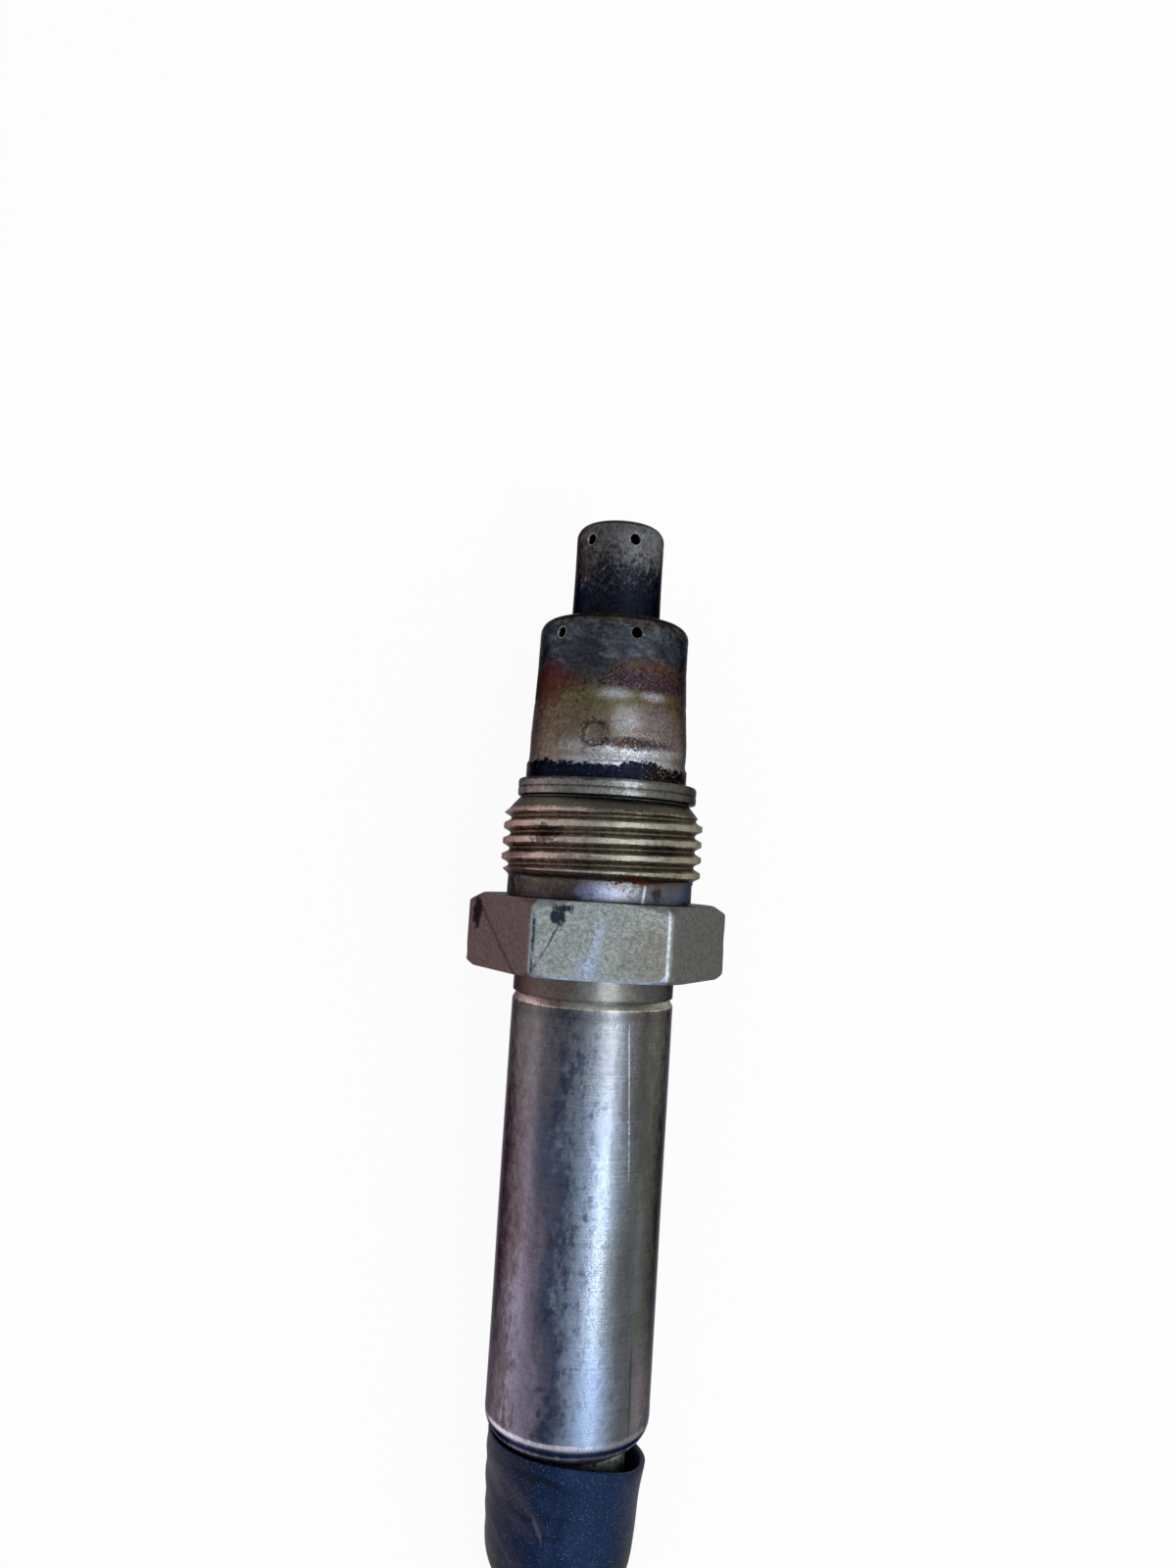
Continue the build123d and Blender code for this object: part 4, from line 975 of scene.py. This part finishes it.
def ring_paint():
    """Worn satin steel with a painted highlight right of the top, a dark front edge on the left, painted
    shadow along its lower edge and a groove round it.
    """
    paint = Paint("ring_steel", metallic=1.0, specular_tint=OUTLINE)
    angle, z = paint.angle, paint.z
    mid = paint.even_grain(1.0, 6.0)
    tiny = paint.even_grain(4.5, 3.0)
    fine = paint.turned_marks(20.0, 1.2)
    # painted highlight: brightest just right of the top
    tint = paint.wheel(
        angle + mid.spread(7), (0.12, 0.11, 0.09), (-60, (0.24, 0.19, 0.18)), (-25, (0.24, 0.23, 0.22)),
        (2, (0.25, 0.26, 0.255)), (14, (0.38, 0.40, 0.40)), (22, (0.15, 0.15, 0.135)),
        (60, (0.11, 0.10, 0.075)))
    dark = (z + (mid - 0.5) * 1.6).step(11.25, 11.4) * angle.step(16, -14)
    tint.coat(dark * 0.85, (0.03, 0.025, 0.03))
    groove = z.band(10.66, 10.84, 0.05)
    tint.coat(groove * 0.75, (0.03, 0.028, 0.03))
    nicks = tiny.step(0.58, 0.66) * angle.band(14, 52, 6)
    tint.coat(nicks * 0.8, (0.05, 0.045, 0.045))
    # painted shadow along the lower edge, where it sits on the shoulder
    under = z.step(10.15, 9.95)
    tint.coat(under, (0.02, 0.018, 0.018))
    tint.shade((0.9 + tiny.spread(0.28) + mid.spread(0.25)) * outline_shade(paint, 0.7))
    rough = 0.3 + mid.spread(0.08)
    return paint.finish(tint, rough, (fine, 0.01), (tiny, 0.04))


def housing_paint():
    """Thread, neck, hexagon and collar, each painted alone and then joined by height."""
    paint = Paint("housing_steel", metallic=1.0, specular_tint=OUTLINE)
    angle, z, radius, x = paint.angle, paint.z, paint.radius, paint.x
    mid = paint.even_grain(0.8, 5.0)
    tiny = paint.even_grain(6.0, 1.0)
    small = paint.grain((2.4, 2.4, 2.8), 5.0, 0.75, shift=19.0)
    fine = paint.turned_marks(22.0, 1.0)
    threaded = z.step(2.3, 2.7)
    hexed = z.band(HEX_REAR - 0.01, HEX_FRONT, 0.02)
    # thread: olive-tan flanks, darker roots, pinkish towards the left
    side = paint.wheel(
        angle + mid.spread(8), (0.13, 0.11, 0.08), (-60, (0.38, 0.26, 0.23)), (-28, (0.62, 0.49, 0.43)),
        (-5, (0.40, 0.365, 0.31)), (16, (0.34, 0.335, 0.28)), (30, (0.30, 0.295, 0.235)),
        (60, (0.36, 0.33, 0.24)))
    root = (radius + small.spread(0.10)).step(9.42, 9.12)
    thread = paint.mix(root * 0.8, side, (0.050, 0.038, 0.024))
    ochre = paint.even_grain(0.7, 41.0).step(0.52, 0.62) * small.step(0.36, 0.56)
    thread.coat(ochre * 0.5, (0.155, 0.098, 0.036))
    crest = (radius + tiny.spread(0.05)).step(9.84, 9.95)
    thread.coat(crest * 0.75, (0.42, 0.40, 0.36))
    glints = tiny.step(0.60, 0.68) * angle.band(-34, 30, 10)
    thread.coat(glints * 0.5, (0.50, 0.48, 0.44))
    grime = paint.spots(
        small, (1.0, 0.5, -36, 6.2, 1.5, 0.9, 0.5), (0.7, 0.5, -58, 4.4, 2.2, 0.7, 0.5),
        (0.6, 0.6, 34, 5.2, 2.4, 0.5, 0.5), (0.6, 0.6, -8, 4.0, 2.8, 0.4, 0.5))
    thread.coat(grime * 0.8, (0.030, 0.019, 0.020))
    lead = z.step(8.6, 9.1)
    thread.coat(lead * 0.6, (0.10, 0.10, 0.085))
    seam = (z + small.spread(0.4)).band(2.15, 2.85, 0.2)
    rust = seam * (angle + small.spread(9)).band(4, 32, 8) * small.step(0.40, 0.56)
    amber = seam * (angle + small.spread(9)).band(-14, 62, 10) * mid.step(0.40, 0.56)
    # neck, with a painted blue-white highlight over the top
    neck = paint.wheel(
        angle + small.spread(7) + mid.spread(4), (0.12, 0.11, 0.10), (-64, (0.07, 0.052, 0.046)),
        (-20, (0.10, 0.085, 0.075)), (-12, (0.22, 0.24, 0.40)), (0, (0.42, 0.48, 0.66)),
        (12, (0.36, 0.38, 0.42)), (24, (0.12, 0.14, 0.17)), (60, (0.10, 0.115, 0.15)))
    pale = mid.step(0.50, 0.60) * angle.step(-14, -26)
    neck.coat(pale * 0.6, (0.22, 0.21, 0.20))
    dirt = small.step(0.46, 0.56) * angle.step(-8, -22)
    neck.coat(dirt * 0.7, (0.035, 0.026, 0.024))
    smear = small.step(0.52, 0.60) * angle.band(-16, 20, 6)
    neck.coat(smear * 0.6, (0.10, 0.12, 0.17))
    tan = (z + small.spread(0.5)).step(1.35, 1.9) * angle.band(-50, 60, 10)
    neck.coat(tan * 0.5, (0.12, 0.09, 0.06))
    foot = (z + small.spread(0.2)).step(0.75, 0.4)
    neck.coat(foot * 0.6, (0.045, 0.045, 0.055))
    blood = paint.spot(33.5, 1.25, 0.62, 0.62, 0.4, tiny.spread(0.4))
    neck.coat(blood * 0.85, (0.045, 0.022, 0.018))
    neck.coat(paint.scratch(angle, 24, 0.55, 25.2, 1.75, 0.9), (0.75, 0.78, 0.8))
    tint = paint.mix(threaded, neck, thread)
    tint.coat(amber * 0.8, (0.12, 0.075, 0.018))
    tint.coat(rust, (0.115, 0.016, 0.006))
    # hexagon: the blasted upper face, then the side faces, each painted its own darker colour as shade and
    # reflection
    spark = paint.specks((5.5, 5.5, 5.5), 0.12, 0.4, keep=0.5)
    face = paint.mix(small.step(0.34, 0.66), (0.225, 0.252, 0.235), (0.325, 0.362, 0.350))
    face.coat(tiny.step(0.54, 0.66) * 0.5, (0.36, 0.385, 0.37))
    face.coat(tiny.step(0.46, 0.36) * 0.4, (0.11, 0.115, 0.100))
    face.coat(spark * 0.3, (0.50, 0.53, 0.50))
    warm = (x + mid.spread(1.6)).step(0.8, 3.8) * z.step(-0.8, -2.8)
    face.coat(warm * 0.45, (0.165, 0.130, 0.088))
    cool = (x + mid.spread(1.2)).step(-4.4, -6.2)
    face.coat(cool * 0.5, (0.36, 0.42, 0.44))
    streak = paint.scratch(x + small.spread(0.35), -1.15, -6.6, 0.05, -1.5, 0.55)
    streak = streak * (tiny.step(0.42, 0.58) * 0.6 + 0.4)
    face.coat(streak * 0.8, (0.44, 0.53, 0.74))
    low_streak = paint.spot(-6.0, -5.7, 1.1, 1.3, 0.6, small.spread(0.4))
    face.coat(low_streak * 0.4, (0.34, 0.42, 0.60))
    blot = paint.spots(
        small, (1.0, 0.4, -19.6, -1.15, 0.60, 0.62, 0.3), (1.0, 0.4, -18.0, -0.4, 0.75, 0.30, 0.4))
    face.coat(blot * 0.95, (0.012, 0.016, 0.035))
    long_mark = paint.scratch(x + tiny.spread(0.06), -5.9, -5.9, -3.7, -1.6, 0.15)
    face.coat(long_mark * 0.65, (0.06, 0.07, 0.08))
    bright_mark = paint.scratch(x, -5.72, -5.6, -3.95, -1.7, 0.06) * small.step(0.40, 0.56)
    face.coat(bright_mark * 0.8, (0.6, 0.64, 0.6))
    edge_mark = paint.scratch(x, -6.1, -6.6, -6.0, -1.2, 0.22)
    face.coat(edge_mark * mid.step(0.38, 0.52), (0.03, 0.045, 0.10))
    # painted reflection: pale blue on the corner at the rear right
    corner = (x - z * 0.9).step(10.9, 11.1) * z.step(-4, -5)
    face.coat(corner * 0.6, (0.50, 0.60, 0.78))
    # painted highlight along the edges beside the upper face
    edge_highlights = paint.biggest(x.band(5.85, 6.12, 0.08) * small.step(0.30, 0.44) * 0.9,
                           x.band(-6.35, -6.18, 0.06) * small.step(0.36, 0.5) * 0.7)
    face.coat(edge_highlights, (0.62, 0.70, 0.74))
    # painted reflection: a blue band along the rear edge of the upper face
    low_edge_reflection = (z + small.spread(0.1)).step(HEX_REAR + 0.4, HEX_REAR + 0.15)
    face.coat(low_edge_reflection * 0.7, (0.30, 0.36, 0.50))
    brush = paint.noise(paint.vector(x * 9, paint.up * 9, z * 0.35), 3.0, 0.6)
    # painted shade and reflection: one colour for each side face of the same steel
    left = paint.mix(brush, (0.135, 0.093, 0.090), (0.178, 0.128, 0.124))
    right = paint.mix(brush, (0.155, 0.153, 0.140), (0.215, 0.213, 0.198))
    other = paint.mix(brush, (0.12, 0.11, 0.10), (0.17, 0.16, 0.145))
    left.coat(paint.scratch(angle, -78, -0.9, -38, -6.9, 0.4) * 0.5, (0.06, 0.04, 0.04))
    chip = paint.spot(-81, -1.5, 0.8, 1.5, 0.3, small.spread(0.35))
    left.coat(chip * 0.9, (0.012, 0.010, 0.016))
    faces = paint.mix(angle.step(29.2, 30.6), face, right)
    faces.coat(angle.step(-29.4, -30.6), left)
    faces.coat(abs(angle).step(89.4, 90.6), other)
    off = paint.math("PINGPONG", angle + 390, 30.0)
    edge = (off + tiny.spread(0.5)).step(1.1, 0.3)
    faces.coat(edge * 0.6, (0.30, 0.31, 0.33))
    tint.coat(hexed, faces)
    end_face = z.band(HEX_FRONT - 0.03, HEX_FRONT + 0.09, 0.03) * radius.step(9.1, 9.3)
    tint.coat(end_face * 0.7, (0.10, 0.09, 0.085))
    # collar behind the hexagon, with a painted highlight just right of the top
    collar = paint.wheel(
        angle + (mid - 0.5) * 14, (0.10, 0.09, 0.07), (-55, (0.105, 0.072, 0.068)),
        (-25, (0.15, 0.122, 0.108)), (-5, (0.20, 0.20, 0.19)), (6, (0.36, 0.37, 0.35)),
        (18, (0.14, 0.14, 0.13)), (60, (0.080, 0.082, 0.074)))
    collar.coat(tiny.step(0.54, 0.66) * 0.6, (0.04, 0.032, 0.03))
    tint.coat(z.step(HEX_REAR - 0.02, HEX_REAR - 0.06), collar)
    side = 1.0 - (1.0 - outline_shade(paint, 0.6)) * (1.0 - hexed) * (1.0 - threaded)
    tint.shade((1.0 + small.spread(0.24) + tiny.spread(0.18)) * side)
    rough = 0.34 + mid.spread(0.06) + small.spread(0.08) + hexed * 0.1 + rust * 0.3
    return paint.finish(tint, rough, (fine, 0.008), (small, 0.04),
                        (tiny * (hexed * 0.7 + 0.3) - long_mark - blot, 0.05))


# ---- rubber, cable and plastics ---------------------------------------------

def boot_paint():
    """Blue-black rubber with a sheen on its left, dust specks and painted shade in its folds."""
    paint = Paint("boot_rubber", specular_ior_level=0.08)
    angle, z = paint.angle, paint.z
    mid = paint.even_grain(0.5, 3.0)
    tiny = paint.even_grain(5.0, 9.0)
    tint = paint.wheel(
        angle + mid.spread(12), (0.008, 0.010, 0.020), (-70, (0.022, 0.021, 0.038)),
        (-40, (0.013, 0.018, 0.044)), (-20, (0.004, 0.015, 0.052)), (15, (0.007, 0.026, 0.082)),
        (55, (0.003, 0.012, 0.038)))
    slant = paint.turn * 5.2 + z
    bands = paint.noise(paint.vector(slant * 0.36, 0.0, paint.turn * 0.35), 3.0, 0.55)
    sheen = bands.step(0.46, 0.68) * angle.step(-4, -34)
    tint.coat(sheen * 0.75, (0.066, 0.054, 0.080))
    grey = mid.step(0.46, 0.7) * angle.band(-14, 34, 16)
    tint.coat(grey * 0.4, (0.034, 0.056, 0.120))
    dust = paint.specks((1.1, 1.1, 1.1), 0.08, 0.19, shift=2.0, keep=0.55)
    dust = paint.biggest(dust, paint.specks((2.6, 2.6, 2.6), 0.09, 0.24, shift=5.0, keep=0.16) * 0.8)
    tint.coat(dust * 0.85, (0.46, 0.52, 0.62))
    # painted shade: darker in the folds on its left
    fold_shade = paint.noise(paint.vector(0.0, paint.turn * 0.9, z * 0.55 + paint.turn * 0.5), 4.0, 0.6)
    fold_shade = fold_shade.step(0.48, 0.38) * angle.step(20, -20)
    tint.coat(fold_shade * 0.6, (0.004, 0.004, 0.008))
    hair = paint.scratch(angle, -22, -54.4, -15, -55.9, 0.5)
    tint.coat(hair * 0.3, (0.2, 0.2, 0.26))
    inside = paint.radius.step(7.05, 6.9) * z.step(-62, -60)
    tint.coat(inside, (0.006, 0.006, 0.005))
    rough = 0.5 + (mid - 0.5) * 0.2 + dust * 0.2
    return paint.finish(tint, rough, (tiny, 0.02), (mid, 0.08))


def plain_paint(name, colour, rough=0.5, size=2.0, spread=0.25, relief=0.02, laid=False, **constants):
    """A moulded, fired or drawn surface: its colour varies a little, with a fine grain."""
    paint = Paint(name, laid, **constants)
    mid = paint.grain((size, size, size), 4.0, 0.6, 2.0, 0.25)
    tiny = paint.grain((size, size, size), 4.0, 0.7, 7.0, 2.5)
    darker = tuple(c * (1 - spread) for c in colour)
    lighter = tuple(min(1.0, c * (1 + spread)) for c in colour)
    tint = paint.mix(mid, darker, lighter)
    dust = paint.specks((size * 0.6,) * 3, 0.05, 0.12, keep=0.12)
    tint.coat(dust * 0.3, tuple(min(1.0, c * 1.6 + 0.05) for c in colour))
    return paint.finish(tint, rough + (mid - 0.5) * 0.2 + (tiny - 0.5) * 0.08, (tiny, relief))


# ---- the pieces -------------------------------------------------------------

for piece, paint, slot, replaced in (
        (outer_tube, outer_tube_paint, "tube_steel", "outer_protection_tube"),
        (inner_tube, inner_tube_paint, "tip_steel", "inner_protection_tube"),
        (seal_ring, ring_paint, "ring_steel", "seal_ring"),
        (housing, housing_paint, "housing_steel", "hex_housing"),
        (rear_shell, shell_paint, "shell_steel", "rear_shell"),
        (boot, boot_paint, "boot_rubber", "rubber_boot")):
    place_piece(piece, paint(), slot, replaced)
sheath = plain_paint("cable_sheath", (0.022, 0.022, 0.027), 0.42, 1.2, 0.3)
place_piece(cable, sheath, "cable_sheath", "cable", "cable_coil", "cable_tail")
tie_nylon = plain_paint("tie_nylon", (0.032, 0.032, 0.034), 0.38, 2.5, 0.2, 0.01)
place_piece(tie, tie_nylon, "tie_plastic", "coil_tie")

# carried-over nodes: (nodes, material, colour, roughness, lumps a millimetre, unevenness, relief)
INSIDE = (
    (("front_bush", "rear_bush", "contact_holder_upper", "contact_holder_lower"),
     "white_ceramic", (0.78, 0.75, 0.68), 0.55, 1.5, 0.06),
    (("packing_ring", "holder_clamp", "contact_springs", "crimp_sleeves"),
     "plain_steel", (0.45, 0.45, 0.44), 0.3, 2.0, 0.2, 0.01),
    (("sensing_element",), "element_ceramic", (0.66, 0.66, 0.62), 0.4, 2.0, 0.06),
    (("talc_seal",), "pressed_talc", (0.52, 0.50, 0.45), 0.8, 3.0, 0.15),
    (("lead_wires", "connector_leads"), "wire_covering", (0.27, 0.27, 0.30), 0.4, 2.0, 0.1),
    (("grommet",), "grommet_rubber", (0.05, 0.045, 0.045), 0.7, 2.0, 0.25))
PLUG = (
    (("connector_body", "connector_rear_cap"), "connector_plastic", (0.030, 0.030, 0.034), 0.5, 3.0, 0.18,
     0.03),
    (("connector_lock",), "lock_plastic", (0.17, 0.18, 0.20), 0.5, 3.0, 0.12),
    (("connector_terminals",), "terminal_brass", (0.62, 0.42, 0.16), 0.28, 3.0, 0.12, 0.01),
    (("connector_wire_seal",), "seal_rubber", (0.36, 0.10, 0.025), 0.6, 2.0, 0.12))
for group, laid in ((INSIDE, True), (PLUG, False)):
    for names, material, *look in group:
        metal = {"metallic": 1.0} if material in ("plain_steel", "terminal_brass") else {}
        made = plain_paint(material, *look, laid=laid, **metal)
        for node in names:
            repaint(node, made)


# ---- floor, light and camera ------------------------------------------------

def floor_material():
    """An even pale ground to the camera and in reflections, and a plain one to the light."""
    material = bpy.data.materials.new("pale_floor")
    material.use_nodes = True
    tree = material.node_tree
    tree.nodes.clear()
    rays = add_node(tree, "LightPath").outputs
    seen = rays["Is Camera Ray"]
    for ray in ("Is Glossy Ray", "Is Transmission Ray"):
        seen = add_node(tree, "Math", {0: seen, 1: rays[ray]}, operation="MAXIMUM").outputs[0]
    share = add_node(tree, "Math", {0: seen, 1: 0.94}, operation="MULTIPLY").outputs[0]
    matte = add_node(tree, "BsdfDiffuse", {"Color": (0.93, 0.93, 0.93)}).outputs[0]
    glow = add_node(tree, "Emission", {"Color": (1.0, 1.0, 1.0), "Strength": 1.0}).outputs[0]
    mixed = add_node(tree, "MixShader", {"Fac": share, 1: matte, 2: glow}).outputs[0]
    add_node(tree, "OutputMaterial", {"Surface": mixed})
    return material


def add_stage():
    """The floor, and a studio's even light all round."""
    mesh = bpy.data.meshes.new("floor")
    reach = 3.0
    corners = [(-reach, -reach, 0), (reach, -reach, 0), (reach, reach, 0), (-reach, reach, 0)]
    mesh.from_pydata(corners, [], [(0, 1, 2, 3)])
    mesh.materials.append(floor_material())
    add_object("floor", mesh)
    world = bpy.data.worlds.new("studio")
    bpy.context.scene.world = world
    world.use_nodes = True
    sky = world.node_tree.nodes["Background"].inputs
    sky["Color"].default_value = (0.94, 0.96, 1.0, 1)
    sky["Strength"].default_value = 0.5


def softbox(name, across, along, distance, wide, long, radiance, colour=(1, 1, 1)):
    """A strip lamp aimed at the sensor: across and along are degrees from straight up."""
    data = bpy.data.lights.new(name, "AREA")
    data.shape, data.size, data.size_y = "RECTANGLE", wide, long
    data.energy = radiance * math.pi * wide * long
    data.color = colour
    lamp = add_object(name, data)
    a, b = math.radians(across), math.radians(along)
    way = Vector((math.sin(a) * math.cos(b), math.sin(b), math.cos(a) * math.cos(b)))
    lamp.location = way * distance + Vector((0, 0.01, 0.01))
    lamp.rotation_mode = "QUATERNION"
    x = Vector((0, 1, 0)).cross(way).normalized()
    lamp.rotation_quaternion = Matrix((x, way.cross(x), way)).transposed().to_quaternion()
    lamp.visible_camera = False


add_stage()
softbox("key", 28, -10, 0.50, 0.022, 0.50, 15.0)
softbox("halo", 26, -10, 0.55, 0.56, 0.50, 0.75, (0.86, 0.93, 1.0))
softbox("side", 64, 4, 0.60, 0.012, 0.30, 11.0)
softbox("fill", -84, -4, 0.60, 0.10, 0.50, 1.2, (1.0, 0.93, 0.95))

CAMERA_PLACE = Vector((-4.65486, 20.08411, 122.38077)) * MM
CAMERA_AHEAD = Vector((0.02610592, 0.15044848, -0.98827311))
CAMERA_UP = Vector((-0.06484382, 0.98678287, 0.14850873))
camera_data = bpy.data.cameras.new("camera")
camera_data.sensor_width = 36.0
camera_data.lens = 25.875
camera_data.clip_start, camera_data.clip_end = 0.005, 20.0
camera = add_object("camera", camera_data)
right = CAMERA_AHEAD.cross(CAMERA_UP).normalized()
up = right.cross(CAMERA_AHEAD).normalized()
turned_to = Matrix((right, up, -CAMERA_AHEAD)).transposed().to_4x4()
camera.matrix_world = Matrix.Translation(CAMERA_PLACE) @ turned_to
bpy.context.scene.camera = camera
bpy.context.scene.view_settings.view_transform = "Standard"
